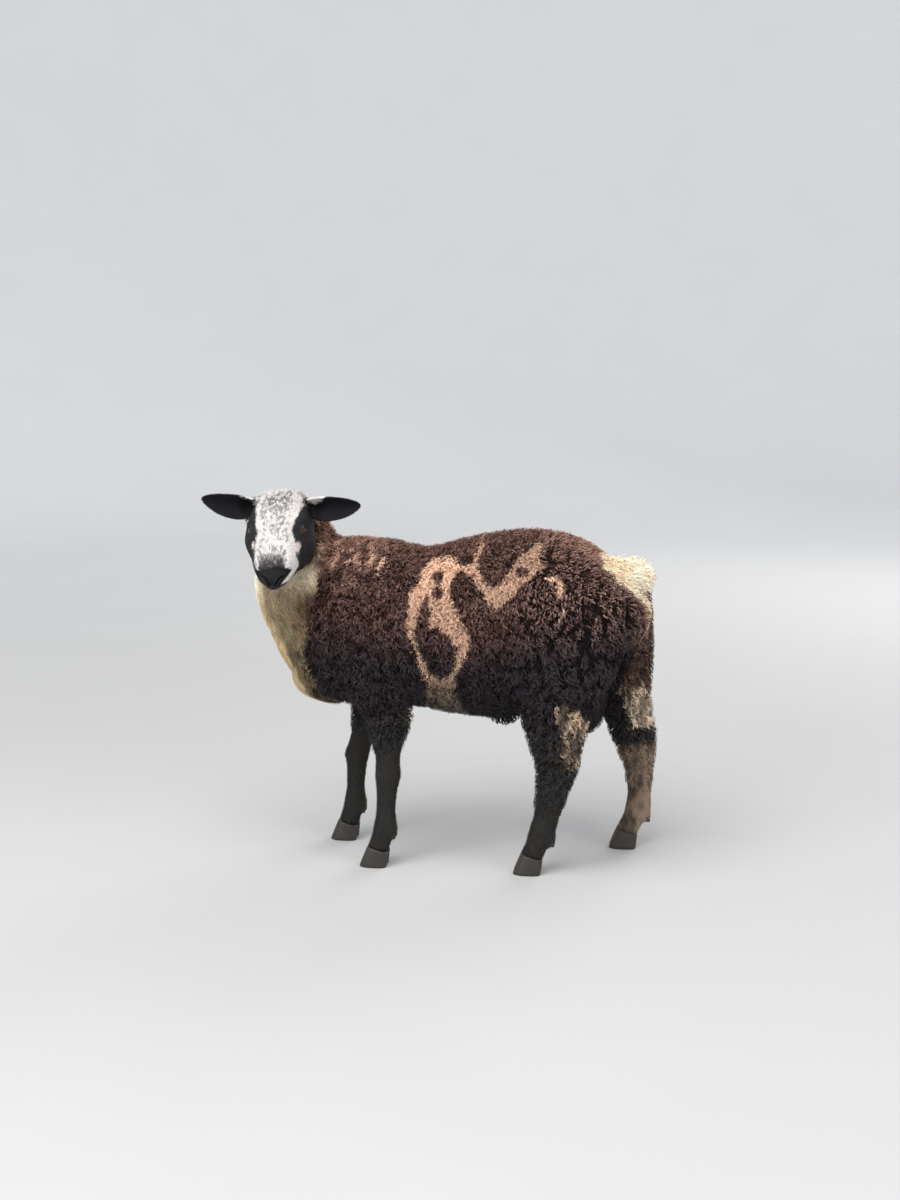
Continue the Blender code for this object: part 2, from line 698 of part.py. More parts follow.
def clump_places(core):
    """Spots spread evenly over the core: each random trial stays if it has room round it."""
    draw = np.random.default_rng(CLUMP_SEED)
    mesh = core.data
    mesh.calc_loop_triangles()
    corners = np.array([[mesh.vertices[v].co for v in t.vertices] for t in mesh.loop_triangles])
    normals = np.array([t.normal for t in mesh.loop_triangles])
    area = np.linalg.norm(np.cross(corners[:, 1] - corners[:, 0], corners[:, 2] - corners[:, 0]), axis=1)
    chosen = draw.choice(len(area), CLUMP_TRIALS, p=area / area.sum())
    a, b = draw.random(CLUMP_TRIALS), draw.random(CLUMP_TRIALS)
    turned = a + b > 1
    a[turned], b[turned] = 1 - a[turned], 1 - b[turned]
    tri = corners[chosen]
    spots = tri[:, 0] + a[:, None] * (tri[:, 1] - tri[:, 0]) + b[:, None] * (tri[:, 2] - tri[:, 0])
    kept, rooms = [], []
    places = np.empty((0, 3))
    for spot, normal in zip(spots, normals[chosen]):
        room = coat_here(Vector(spot))
        if room == 0.0:
            continue
        if len(kept) and (np.linalg.norm(places - spot, axis=1) < (np.array(rooms) + room) / 2).any():
            continue
        kept.append((Vector(spot), Vector(normal), room))
        rooms.append(room)
        places = np.vstack([places, spot])
    return kept


def clump(name, spot, normal, room, vary, home):
    """One rounded clump of fleece: a low dome, longer and leaning along the coat's lie."""
    lie = lie_at(spot, normal)
    side = normal.cross(lie)
    tall = COAT_RISE * (0.92 + 0.16 * vary[0]) * min(1.0, room / 0.040) + CLUMP_ROOT
    half = room * (0.60 + 0.05 * vary[1])
    points, faces = [spot - normal * CLUMP_ROOT], []
    for up, wide in CLUMP_PROFILE:
        hub = spot + normal * (up * tall - CLUMP_ROOT) + lie * LEAN * half * up * up
        for a in (np.arange(CLUMP_SIDES) + vary[0]) * 2 * math.pi / CLUMP_SIDES:
            points.append(hub + (lie * CLUMP_LENGTH * math.cos(a) + side * math.sin(a)) * half * wide)
    points.append(spot + normal * (tall - CLUMP_ROOT) + lie * LEAN * half)
    for j in range(CLUMP_SIDES):
        k = (j + 1) % CLUMP_SIDES
        faces.append((0, 1 + j, 1 + k))
        for low in (1, 1 + CLUMP_SIDES):
            faces.append((low + j, low + k, low + CLUMP_SIDES + k, low + CLUMP_SIDES + j))
        last = 1 + 2 * CLUMP_SIDES
        faces.append((last + j, last + k, len(points) - 1))
    return mesh_object(name, points, faces, home)


def flesh_cores(inset):
    """Trunk, neck, legs and tail as one closed core."""
    others = collection("cores")
    trunk = trunk_core(bpy.context.scene.collection, inset)
    neck_core(others, inset)
    for side, sign in SIDE_SIGN.items():
        loft("foreleg_core", leg_rings(fore_rows(side), LEG_RINGS, sign), others)
        rows = [(x, y, z, long - inset * min(1, max(0, (z - 0.2) / 0.1)), wide - inset * 0.5 * min(1, max(0, (z - 0.2) / 0.1)))
                for x, y, z, long, wide in HIND[side]]
        loft("hind_core", leg_rings(rows, LEG_RINGS, sign), others)
    tail_rings = []
    table = smooth_table([(x, z, r) for x, z, r in TAIL], 9)
    ahead = np.gradient(table[:, :2], axis=0)
    for (x, z, r), (dx, dz) in zip(table, ahead):
        run = np.array([dx, dz]) / math.hypot(dx, dz)
        across, up = round_section(12, 2.0)
        tail_rings.append(np.stack([x - up * r * run[1], across * r * 1.15, z + up * r * run[0]], 1))
    loft("tail_core", tail_rings, others)
    ball("scrotum_core", SCROTUM_AT, SCROTUM_SIZE, others, segments=12, rings=9)
    ball("sheath_core", SHEATH_AT, SHEATH_SIZE, others, segments=12, rings=8)
    return joined(trunk, others, "core", bpy.context.scene.collection)


def eye_seat(sign):
    """The middle of one eyeball and the way the eye looks, square to the skin there."""
    s, height = EYE_AT
    along = face_point((s + 0.012, height), sign) - face_point((s - 0.012, height), sign)
    above = face_point((s, height + 0.008), sign) - face_point((s, height - 0.008), sign)
    out = (along.cross(above) * -sign).normalized()
    return face_point(EYE_AT, sign) - out * EYE_DEPTH, out


def head_block(home):
    """The head with lids, lips, mouth line and nostrils, and its sockets cut for the eyes."""
    others = collection("lids")
    base = loft("head_base", head_rings(0.0), bpy.context.scene.collection)
    cutters = []
    for sign in (1, -1):
        eye, out = eye_seat(sign)
        ring_round("lid", eye + out * EYE_DEPTH, out, MUZZLE_WAY, LID_RADIUS, LID_THICK, LID_SQUASH, others)
        cutters.append(ball("socket", eye, [EYE_RADIUS + GAP] * 3, home, segments=16, rings=12))
        way = (MUZZLE_WAY * 0.75 + CROWN_WAY * 0.10 + LEFT_WAY * sign * 0.65).normalized()
        lip = LEFT_WAY * sign * 0.6 - MUZZLE_WAY * 0.2 + CROWN_WAY * 0.75
        lip = (lip - way * lip.dot(way)).normalized()
        cutters.append(ball("nostril", face_point(NOSTRIL_AT, sign), NOSTRIL_SIZE, home,
                            axes=(tuple(way), tuple(way.cross(lip)), tuple(lip)), segments=10, rings=8))
    path = [face_point(at, 1) for at in MOUTH] + [head_place(MOUTH_FRONT[0], 0, MOUTH_FRONT[1])]
    path += [face_point(at, -1) for at in MOUTH[::-1]]
    cutters.append(tube_through("mouth", path, MOUTH_WIDE, home))
    solid = joined(base, others, "head_solid", bpy.context.scene.collection)
    made = cut(solid, cutters, "head_block", home)
    for obj in cutters + [solid]:
        bpy.data.objects.remove(obj)
    return made


def eye(name, sign, home):
    """One eyeball, as round as its socket."""
    return ball(name, eye_seat(sign)[0], [EYE_RADIUS] * 3, home, segments=16, rings=12)


def dewclaws(side, end, rows, sign, home):
    """The two small claws behind one fetlock, their roots cut to the leg."""
    at = min(rows, key=lambda row: abs(row[2] - DEWCLAW_HEIGHT - 0.016))
    cutter = loft("leg_cutter", leg_rings(rows, LEG_RINGS, sign, GAP), home)
    made = []
    for word, aside in (("inner", -1), ("outer", 1)):
        place = (at[0] + at[3] * 0.90, sign * (at[1] + aside * at[4] * 0.50), DEWCLAW_HEIGHT)
        whole = ball("dewclaw", place, DEWCLAW, home, segments=8, rings=6)
        made.append(cut(whole, [cutter], f"dewclaw_{end}_{side}_{word}", home))
        bpy.data.objects.remove(whole)
    bpy.data.objects.remove(cutter)
    return made


def finish_node(obj, paint):
    """Gives a node its material."""
    obj.data.materials.clear()
    obj.data.materials.append(material(paint))
    obj.data.shade_smooth()


def stand_on_origin(objects):
    """Moves all nodes so that the middle of the lamb's box is over the origin, on the floor."""
    corners = np.array([v.co for obj in objects for v in obj.data.vertices])
    low, high = corners.min(axis=0), corners.max(axis=0)
    shift = Matrix.Translation((-(low[0] + high[0]) / 2, -(low[1] + high[1]) / 2, -low[2]))
    for obj in objects:
        obj.data.transform(shift)


def build_whole():
    """The lamb from poll to coronets as one closed body, clumps of fleece and all."""
    scene = bpy.context.scene.collection
    core = flesh_cores(COAT_RISE)
    clumps = collection("clumps")
    draw = np.random.default_rng(CLUMP_SEED + 1)
    for k, (spot, normal, room) in enumerate(clump_places(core)):
        clump(f"clump_{k}", spot, normal, room, draw.random(2), clumps)
    coat = joined(core, clumps, "coat", scene)
    merge_short_edges(coat.data, SHORT_EDGE)
    skull = collection("skull")
    skull.objects.link(head_block(scene))
    return joined(coat, skull, "whole", scene)


def region(name, grow, home):
    """The prism that bounds one node, larger by grow all round."""
    outline, low, high = REGIONS[name.replace("_right", "").replace("_left", "")
                                 if name not in REGIONS else name]
    if name.endswith("_left"):
        low, high = -high, -low
    frame = (HEAD_AT, MUZZLE_WAY, CROWN_WAY, LEFT_WAY) if name == "head" else None
    return prism(name + "_region", outline, low, high, home, grow, frame)


def part_whole(whole, home, scratch):
    """The whole body parted into nodes: each keeps its region, the torso keeps the rest."""
    names = ["head", "neck", "tail", "scrotum"]
    names += [f"{part}_{side}" for part in ("foreleg", "thigh", "shank") for side in SIDE_SIGN]
    grown = {name: region(name, GAP, scratch) for name in names}
    made = {}
    for name in names:
        inside = cut(whole, [region(name, 0.0, scratch)], name, home, "INTERSECT")
        if name == "neck":
            made[name] = cut(inside, [grown["head"]], name, home)
            bpy.data.objects.remove(inside)
            made[name].name = name
        else:
            made[name] = inside
    made["torso"] = cut(whole, list(grown.values()), "torso", home)
    bpy.data.objects.remove(whole)
    return made


def small_parts(home, scratch):
    """Ears, eyes, claws and dewclaws."""
    made = {}
    head_cutter = loft("head_grown", head_rings(GAP), scratch)
    for side, sign in (("left", 1), ("right", -1)):
        made[f"ear_{side}"] = ear(f"ear_{side}", side, head_cutter, home)
        made[f"eye_{side}"] = eye(f"eye_{side}", sign, home)
    for end in ("fore", "hind"):
        for side, sign in SIDE_SIGN.items():
            rows = fore_rows(side) if end == "fore" else HIND[side]
            for word, inner in (("inner", True), ("outer", False)):
                name = f"claw_{end}_{side}_{word}"
                made[name] = claw(name, rows[-1][:3], inner, sign, home)
            for obj in dewclaws(side, end, rows, sign, home):
                made[obj.name] = obj
    return made


def main():
    clear_scene()
    parts = collection("ram_lamb")
    scratch = collection("scratch")
    whole = build_whole()
    made = part_whole(whole, parts, scratch)
    made.update(small_parts(parts, scratch))
    for obj in list(scratch.objects):
        bpy.data.objects.remove(obj)
    for name, obj in made.items():
        finish_node(obj, PAINTS[name.split("_")[0]])
    stand_on_origin(list(made.values()))


main()
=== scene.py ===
"""Looks of the ram lamb: one skin over its flesh, a curly fleece, short hair, eyes and hooves.

Shapes are worked out in the lamb's own place, facing -X with its left side to -Y and its feet on
z = 0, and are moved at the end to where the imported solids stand.
"""

import json
import math

import bpy
import numpy as np
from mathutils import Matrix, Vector
from mathutils.kdtree import KDTree

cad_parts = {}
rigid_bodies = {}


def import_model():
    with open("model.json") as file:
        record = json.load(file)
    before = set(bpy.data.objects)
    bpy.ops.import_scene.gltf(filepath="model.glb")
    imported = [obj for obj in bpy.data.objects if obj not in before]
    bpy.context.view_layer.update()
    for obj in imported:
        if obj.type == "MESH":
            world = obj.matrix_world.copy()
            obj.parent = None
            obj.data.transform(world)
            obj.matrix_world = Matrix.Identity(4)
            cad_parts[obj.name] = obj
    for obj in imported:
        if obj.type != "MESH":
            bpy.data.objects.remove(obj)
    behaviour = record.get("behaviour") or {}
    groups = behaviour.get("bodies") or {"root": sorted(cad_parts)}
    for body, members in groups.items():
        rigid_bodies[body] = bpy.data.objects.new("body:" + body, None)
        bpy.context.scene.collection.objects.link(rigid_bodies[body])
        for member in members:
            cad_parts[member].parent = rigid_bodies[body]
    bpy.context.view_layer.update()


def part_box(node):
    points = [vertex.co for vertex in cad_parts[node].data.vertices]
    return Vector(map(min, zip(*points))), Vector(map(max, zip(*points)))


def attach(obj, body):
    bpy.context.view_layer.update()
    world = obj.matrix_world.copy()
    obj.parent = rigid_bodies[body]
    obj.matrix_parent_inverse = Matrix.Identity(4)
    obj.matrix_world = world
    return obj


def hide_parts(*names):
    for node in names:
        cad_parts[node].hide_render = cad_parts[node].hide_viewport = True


SEED = 7

# Trunk: place along the back, height of back and of belly, half width, squareness
TRUNK = [
    (-0.301, 0.450, 0.327, 0.052, 2.0),
    (-0.278, 0.555, 0.311, 0.088, 2.1),
    (-0.225, 0.617, 0.300, 0.116, 2.2),
    (-0.150, 0.621, 0.298, 0.130, 2.3),
    (-0.080, 0.610, 0.300, 0.138, 2.3),
    (-0.035, 0.607, 0.294, 0.144, 2.2),
    (0.045, 0.627, 0.284, 0.152, 2.2),
    (0.130, 0.641, 0.286, 0.148, 2.3),
    (0.215, 0.637, 0.318, 0.140, 2.4),
    (0.275, 0.613, 0.366, 0.134, 2.4),
    (0.325, 0.572, 0.402, 0.120, 2.3),
    (0.362, 0.540, 0.430, 0.092, 2.2),
    (0.382, 0.510, 0.460, 0.045, 2.0),
]

# Neck: centre, half depth from throat to crest, half width, way it runs, way its crest looks
NECK = [
    ((-0.167, 0.000, 0.464), 0.172, 0.122, (-0.90, 0.00, 0.44), (0.44, 0.00, 0.90)),
    ((-0.2236, -0.002, 0.4895), 0.149, 0.108, (-0.85, -0.02, 0.53), (0.53, 0.00, 0.85)),
    ((-0.264, -0.006, 0.526), 0.122, 0.094, (-0.72, -0.12, 0.68), (0.66, 0.08, 0.74)),
    ((-0.290, -0.016, 0.566), 0.100, 0.082, (-0.46, -0.38, 0.80), (0.50, 0.36, 0.78)),
    ((-0.298, -0.024, 0.612), 0.098, 0.070, (-0.14, -0.78, 0.61), (0.15, 0.52, 0.84)),
    ((-0.301, -0.054, 0.636), 0.074, 0.053, (0.00, -0.94, 0.33), (0.00, 0.40, 0.92)),
]

# Head frame: a point inside the poll, and the ways to the muzzle, the crown and the left ear
HEAD_AT = np.array([-0.312, -0.053, 0.683])
FACE_YAW, FACE_DROP = math.radians(6.0), math.radians(35.0)
FACE_LEVEL = np.array([math.sin(FACE_YAW), -math.cos(FACE_YAW), 0.0])
MUZZLE_WAY = FACE_LEVEL * math.cos(FACE_DROP) - np.array([0, 0, math.sin(FACE_DROP)])
CROWN_WAY = FACE_LEVEL * math.sin(FACE_DROP) + np.array([0, 0, math.cos(FACE_DROP)])
LEFT_WAY = np.cross(CROWN_WAY, MUZZLE_WAY)

# Head: distance from the poll, height of brow line and of jaw line, half width, squareness
HEAD = [
    (-0.053, -0.024, -0.052, 0.018, 2.0),
    (-0.042, -0.006, -0.064, 0.040, 2.1),
    (-0.020, 0.018, -0.076, 0.053, 2.2),
    (0.015, 0.035, -0.088, 0.0585, 2.3),
    (0.050, 0.0462, -0.091, 0.0600, 2.5),
    (0.085, 0.0465, -0.082, 0.0595, 2.5),
    (0.115, 0.039, -0.068, 0.0505, 2.4),
    (0.145, 0.031, -0.051, 0.0418, 2.4),
    (0.168, 0.0245, -0.037, 0.0332, 2.4),
    (0.185, 0.0175, -0.029, 0.0244, 2.3),
    (0.196, 0.0095, -0.0225, 0.0166, 2.1),
    (0.2025, 0.0020, -0.0165, 0.0110, 2.0),
    (0.2050, -0.0040, -0.0110, 0.0048, 2.0),
]
JAW_TAPER = 0.30
JAW_LEAN = (0.075, 0.040, 0.0042)   # where along the head, how far round it and how much
# Forms of the face: distance from the poll, sideways, height, three spreads, rise
FACE_FORMS = [
    (0.070, 0.052, 0.038, 0.017, 0.014, 0.012, 0.0050),
    (0.090, 0.060, 0.020, 0.014, 0.014, 0.011, -0.0050),
    (0.100, 0.055, -0.004, 0.026, 0.014, 0.009, 0.0022),
    (0.058, 0.052, -0.055, 0.032, 0.022, 0.026, 0.0080),
    (0.130, 0.042, -0.016, 0.018, 0.014, 0.014, -0.0035),
    (0.188, 0.014, 0.008, 0.009, 0.007, 0.007, 0.0020),
    (0.182, 0.024, -0.012, 0.013, 0.010, 0.006, 0.0020),
    (0.178, 0.015, -0.030, 0.015, 0.012, 0.006, 0.0016),
]
EYE_AT = (0.0870, 0.0215)       # place of the eye: distance from the poll, height
EYE_RADIUS = 0.0138
EYE_DEPTH = 0.0108
LID_HALF = (0.0118, 0.0068)      # half length and half height of the eye's opening
LID_THICK = 0.0014
MOUTH = [(0.142, -0.0215), (0.160, -0.0212), (0.176, -0.0195), (0.189, -0.0170), (0.1985, -0.0148)]
MOUTH_FRONT = (0.2046, -0.0118)
CHEEK_FOLD = [(0.108, 0.010), (0.122, 0.004), (0.138, -0.004)]
NOSTRIL_PATH = [(0.2040, 0.0034, -0.0075), (0.2030, 0.0056, -0.0025), (0.1990, 0.0098, 0.0025),
                (0.1935, 0.0140, 0.0052), (0.1885, 0.0168, 0.0045)]

# Ear: share of its length, chord, depth of the cup, thickness
EAR = [
    (0.00, 0.030, 0.0150, 0.0060),
    (0.10, 0.036, 0.0155, 0.0055),
    (0.20, 0.043, 0.0152, 0.0048),
    (0.36, 0.050, 0.0145, 0.0042),
    (0.54, 0.048, 0.0122, 0.0038),
    (0.72, 0.0405, 0.0092, 0.0036),
    (0.87, 0.0275, 0.0055, 0.0034),
    (0.960, 0.0150, 0.0024, 0.0030),
    (0.995, 0.0045, 0.0005, 0.0022),
]
EAR_LIFT = {"left": 0.000, "right": 0.006}
EAR_ROOT = (0.016, 0.040, 0.015)
EAR_LENGTH = 0.109
EAR_RISE = {"left": 0.02, "right": 0.075}

# Legs: place along the back, sideways, height, half length front to back, half width
FORE_UPPER = [
    (-0.140, 0.078, 0.420, 0.060, 0.040),
    (-0.128, 0.080, 0.345, 0.050, 0.038),
]
FORE_LOWER = [
    (0.300, 0.0370, 0.0330),
    (0.250, 0.0280, 0.0260),
    (0.208, 0.0230, 0.0220),
    (0.178, 0.0245, 0.0235),
    (0.150, 0.0200, 0.0190),
    (0.112, 0.0180, 0.0170),
    (0.078, 0.0215, 0.0200),
    (0.055, 0.0190, 0.0190),
    (0.034, 0.0205, 0.0215),
]
# Where the elbow, knee and foot of each foreleg stand along the back, and their heights
FORE_LEAN = {"left": (-0.109, -0.109, -0.118), "right": (-0.158, -0.196, -0.204)}
ELBOW_HEIGHT, KNEE_HEIGHT, FETLOCK_HEIGHT, CORONET_HEIGHT = 0.300, 0.178, 0.078, 0.034
HIND = {
    "left": [
        (0.250, 0.070, 0.520, 0.110, 0.058),
        (0.232, 0.082, 0.420, 0.102, 0.058),
        (0.216, 0.088, 0.340, 0.082, 0.050),
        (0.208, 0.090, 0.285, 0.062, 0.041),
        (0.211, 0.091, 0.240, 0.044, 0.032),
        (0.213, 0.091, 0.205, 0.034, 0.027),
        (0.205, 0.091, 0.165, 0.028, 0.024),
        (0.196, 0.091, 0.120, 0.0245, 0.0220),
        (0.185, 0.091, 0.080, 0.0250, 0.0225),
        (0.175, 0.091, 0.055, 0.0205, 0.0205),
        (0.167, 0.091, 0.034, 0.0210, 0.0225),
    ],
    "right": [
        (0.272, 0.070, 0.520, 0.110, 0.058),
        (0.295, 0.080, 0.420, 0.093, 0.058),
        (0.318, 0.088, 0.340, 0.069, 0.050),
        (0.335, 0.090, 0.285, 0.052, 0.041),
        (0.348, 0.091, 0.240, 0.042, 0.032),
        (0.357, 0.091, 0.205, 0.033, 0.027),
        (0.362, 0.091, 0.165, 0.0245, 0.0230),
        (0.364, 0.091, 0.120, 0.0220, 0.0210),
        (0.362, 0.091, 0.080, 0.0245, 0.0225),
        (0.351, 0.091, 0.055, 0.0205, 0.0205),
        (0.342, 0.091, 0.034, 0.0210, 0.0225),
    ],
}
# Tufts: shares along a lock where its rings stand, their radii, and how far its colour is the tip's rather
# than the root's, whose darkness is painted shade
LOCK_STEPS = np.array([0.0, 0.42, 0.76, 1.0])
LOCK_RADII = np.array([0.95, 1.0, 0.74])
LOCK_SHADE = np.array([0.0, 0.62, 1.0, 1.0])
LOCK_SIDES = 3
LOCK_SUNK = 0.0020               # how deep a lock's root is sunk in the skin
LOCKS_TRIED, LOCK_ROOM = 200000, 0.0036     # random places tried, and the room that each lock keeps
SOFT_TRIED, SOFT_ROOM = 44000, 0.0031
LOCKS_A_PIECE = 9000
STRANDS = {"crimped_strands": (47000, 16000), "soft_strands": (22000, 11000)}   # in all, and in a piece
STRAND_STEPS, BLADE_STEPS = 7, 3
SHORT_HAIRS, LASHES = 62000, 46
PATCH = 0.003                    # size of a tuft's own patch in the unwrap
FLOOR_SIDES, FLOOR_FLAT, FLOOR_CURVE, FLOOR_SUNK = 96, 4.5, 3.0, 0.0004

# The photo's view: degrees round and up, distance, lens, and the height that it is aimed at
VIEW_TURN, VIEW_RISE, VIEW_AWAY, VIEW_LENS, VIEW_AIM = 7.0, 10.0, 3.30, 51.99, 0.504

SIDE_SIGN = {"left": -1, "right": 1}            # side of each leg along Y
HEAD_SIGN = {"left": 1, "right": -1}            # side of each eye along LEFT_WAY
TRUNK_SIDES, NECK_SIDES, LEG_SIDES, ROUND_SIDES = 96, 72, 48, 40   # corners round their sections
VOXEL = 0.0050                   # size of the voxels that join the flesh into one skin
CORONET_TILT = math.radians(16.0)
CLAW_GAP = 0.0036
CLAW_TOP = (0.0200, 0.0098)
CLAW_SOLE = (0.0265, 0.0112)
CLAW_REACH = 0.0095
DEWCLAW_HEIGHT = 0.062
TAIL = [
    (0.262, 0.552, 0.020),
    (0.295, 0.556, 0.026),
    (0.328, 0.557, 0.0265),
    (0.354, 0.5535, 0.0255),
    (0.369, 0.550, 0.0200),
    (0.378, 0.547, 0.0095),
]
SCROTUM_AT, SCROTUM_SIZE = (0.262, 0.0, 0.318), (0.034, 0.031, 0.062)
SHEATH_AT, SHEATH_SIZE = (0.103, 0.0, 0.291), (0.026, 0.016, 0.017)
COAT_DEPTH = 0.014       # how far the skin of the fleeced parts lies under the coat's tips

# Pale patches of the left flank, in distance along the back and height
FLANK_PATCH = [
    (-0.021, 0.593), (0.003, 0.597), (0.023, 0.594), (0.032, 0.584), (0.056, 0.588), (0.062, 0.612),
    (0.066, 0.640), (0.070, 0.612), (0.066, 0.596), (0.066, 0.580), (0.080, 0.559), (0.097, 0.548),
    (0.112, 0.560), (0.130, 0.585), (0.142, 0.604), (0.158, 0.613), (0.174, 0.628), (0.184, 0.622),
    (0.176, 0.602), (0.182, 0.583), (0.163, 0.567), (0.146, 0.553), (0.131, 0.534), (0.101, 0.511),
    (0.086, 0.520), (0.080, 0.535), (0.064, 0.555), (0.053, 0.568), (0.040, 0.577), (0.025, 0.573),
    (0.016, 0.560), (0.013, 0.545), (0.020, 0.516), (0.035, 0.496), (0.043, 0.478), (0.055, 0.460),
    (0.052, 0.435), (0.040, 0.409), (0.029, 0.386), (0.025, 0.352), (0.036, 0.316), (0.046, 0.285),
    (-0.034, 0.285), (-0.034, 0.322), (-0.026, 0.350), (-0.029, 0.372), (-0.046, 0.418), (-0.056, 0.450),
    (-0.065, 0.481), (-0.059, 0.512), (-0.063, 0.533), (-0.042, 0.554), (-0.040, 0.574),
]
FLANK_ISLAND = [
    (-0.006, 0.475), (0.018, 0.459), (0.030, 0.434), (0.029, 0.409), (0.017, 0.386), (-0.002, 0.375),
    (-0.023, 0.389), (-0.035, 0.413), (-0.044, 0.441), (-0.049, 0.467), (-0.044, 0.492),
    (-0.036, 0.518), (-0.030, 0.536), (-0.021, 0.518), (-0.020, 0.492), (-0.020, 0.476),
]
# Dark spots on them and small pale flecks off them: middle, half length, half height
DARK_SPOTS = [(-0.009, 0.563, 0.0096, 0.0125), (-0.008, 0.537, 0.0102, 0.0112),
              (0.147, 0.577, 0.0130, 0.0095)]
PALE_FLECKS = [(0.203, 0.566, 0.010, 0.005), (0.216, 0.547, 0.007, 0.017), (0.217, 0.492, 0.003, 0.003),
               (0.222, 0.505, 0.0025, 0.007), (-0.135, 0.590, 0.004, 0.011), (-0.116, 0.586, 0.006, 0.008),
               (-0.122, 0.572, 0.003, 0.008), (0.186, 0.588, 0.005, 0.003)]
# Edge of the pale throat: height, place along the back
THROAT_EDGE = [(0.285, -0.150), (0.305, -0.205), (0.329, -0.243), (0.352, -0.256), (0.377, -0.263),
               (0.408, -0.270), (0.436, -0.261), (0.469, -0.262), (0.499, -0.257), (0.529, -0.242),
               (0.574, -0.242), (0.602, -0.238)]
# Where the painted light on its front begins: height, place along the back
THROAT_FRONT = [(0.300, -0.252), (0.330, -0.268), (0.390, -0.294), (0.437, -0.315), (0.485, -0.342),
                (0.530, -0.348), (0.560, -0.348)]
# Where the cream of the tail begins: height, place along the back
TAIL_EDGE = [(0.500, 0.327), (0.520, 0.310), (0.545, 0.289), (0.570, 0.277), (0.590, 0.277), (0.602, 0.290)]
# Fawn patches above the hocks of the near and the far leg: place along the back, height
HOCK_NEAR = [(0.214, 0.330), (0.250, 0.322), (0.268, 0.290), (0.264, 0.238), (0.240, 0.205), (0.222, 0.285)]
HOCK_FAR = [(0.326, 0.322), (0.372, 0.320), (0.394, 0.290), (0.394, 0.256), (0.362, 0.254), (0.338, 0.285)]
# Where the streaks under the tail begin: sideways, place along the back
STREAK_EDGE = [(-0.09, 0.362), (-0.05, 0.352), (-0.01, 0.334), (0.05, 0.345)]
# Front edge of the fawn strip down the back of the far cannon: height, place along the back
CANNON_STRIP = [(0.03, 0.345), (0.12, 0.364), (0.2, 0.360)]
# Where the short hair of the face begins: height, distance from the poll
FACE_EDGE = [(-0.10, 0.105), (-0.085, 0.082), (-0.076, 0.060), (-0.059, 0.036), (-0.033, 0.014),
             (0.0, -0.006), (0.03, -0.046)]
# How thickly the white face is flecked with grey: distance from the poll, amount
FLECKED = [(-0.045, -0.50), (-0.025, -0.05), (0.000, 0.50), (0.020, 0.62), (0.060, 0.52), (0.085, 0.34),
           (0.105, 0.24), (0.150, 0.16)]
# Pink patches beside the nose: distance from the poll and height, side, half width
PINK_PATCHES = [((0.125, 0.0175), 1, 0.0088), ((0.124, 0.0195), -1, 0.0062)]
# Half width of the white face at distances from the poll, on its left and on its right side
BLAZE_LEFT = [(-0.050, 0.060), (-0.030, 0.051), (-0.015, 0.0465), (0.012, 0.0440), (0.035, 0.0430),
              (0.058, 0.0395), (0.090, 0.0325), (0.103, 0.0290), (0.118, 0.0335), (0.125, 0.0370),
              (0.131, 0.0410), (0.148, 0.0380), (0.160, 0.060)]
BLAZE_RIGHT = [(-0.050, 0.060), (-0.030, 0.054), (-0.015, 0.0500), (0.012, 0.0455), (0.037, 0.0415),
               (0.060, 0.0385), (0.091, 0.0355), (0.111, 0.0320), (0.121, 0.0345), (0.142, 0.0350),
               (0.162, 0.0345), (0.175, 0.0300), (0.190, 0.0260)]
# Where the black muzzle begins on the left and on the right: height, distance from the poll
MUZZLE_LEFT = [(-0.030, 0.212), (-0.010, 0.200), (-0.004, 0.193), (-0.0005, 0.1800), (0.0017, 0.1712),
               (0.0090, 0.1745), (0.0158, 0.1779), (0.0185, 0.1815)]
MUZZLE_RIGHT = [(-0.030, 0.150), (-0.0076, 0.160), (-0.003, 0.1635), (0.0031, 0.1710), (0.0077, 0.1785),
                (0.0131, 0.1818), (0.0185, 0.1830)]
# Lower edge of the white at each ear's root: share of the ear's length, height above its middle
EAR_WHITE = {"left": [(0.05, 0.014), (0.21, 0.0066), (0.43, 0.0262), (0.50, 0.040)],
             "right": [(0.0, 0.012), (0.12, 0.0165), (0.34, 0.0270), (0.50, 0.040)]}

# Colours of hair and wool, as the linear numbers that the shader takes
WOOL_RUST = (0.116, 0.052, 0.034)
# Pale rust of the withers' streaks, partly painted highlight, and painted rim light along the top of the rump
WOOL_PALE_RUST_AND_RIM_LIGHT = (0.640, 0.385, 0.285)
WOOL_BROWN = (0.066, 0.030, 0.0235)
# Painted highlight: glints on the tips of the brown wool
WOOL_PAINTED_GLINT = (0.420, 0.265, 0.225)
# Near black of the low body: partly the wool's own dark, partly painted shade from the light above
WOOL_LOW_AND_SHADE = (0.0185, 0.0130, 0.0150)
# Painted highlight: bluish glints on the near-black wool low down
WOOL_PAINTED_BLUE_GLINT = (0.085, 0.085, 0.105)
WOOL_TAN = (0.630, 0.405, 0.285)
WOOL_DULL = (0.100, 0.082, 0.055)
WOOL_STREAK = (0.230, 0.135, 0.090)
WOOL_THROAT = (0.400, 0.320, 0.205)
WOOL_THROAT_LOW = (0.330, 0.260, 0.155)
WOOL_CREAM = (1.000, 0.770, 0.560)
WOOL_WHITE = (0.980, 0.805, 0.630)
HAIR_BLACK = (0.0210, 0.0195, 0.0215)
EAR_BLACK = (0.0065, 0.0065, 0.0085)
LEG_BLACK = (0.0240, 0.0220, 0.0190)
HAIR_WHITE = (0.700, 0.662, 0.642)
HAIR_GREY = (0.115, 0.110, 0.118)
HAIR_PINK = (0.680, 0.590, 0.570)
HAIR_FAWN = (0.640, 0.470, 0.330)
# Paler than the near fawn: painted light on the far hock, which the body shades
HAIR_FAWN_FAR_LIT = (0.900, 0.730, 0.540)
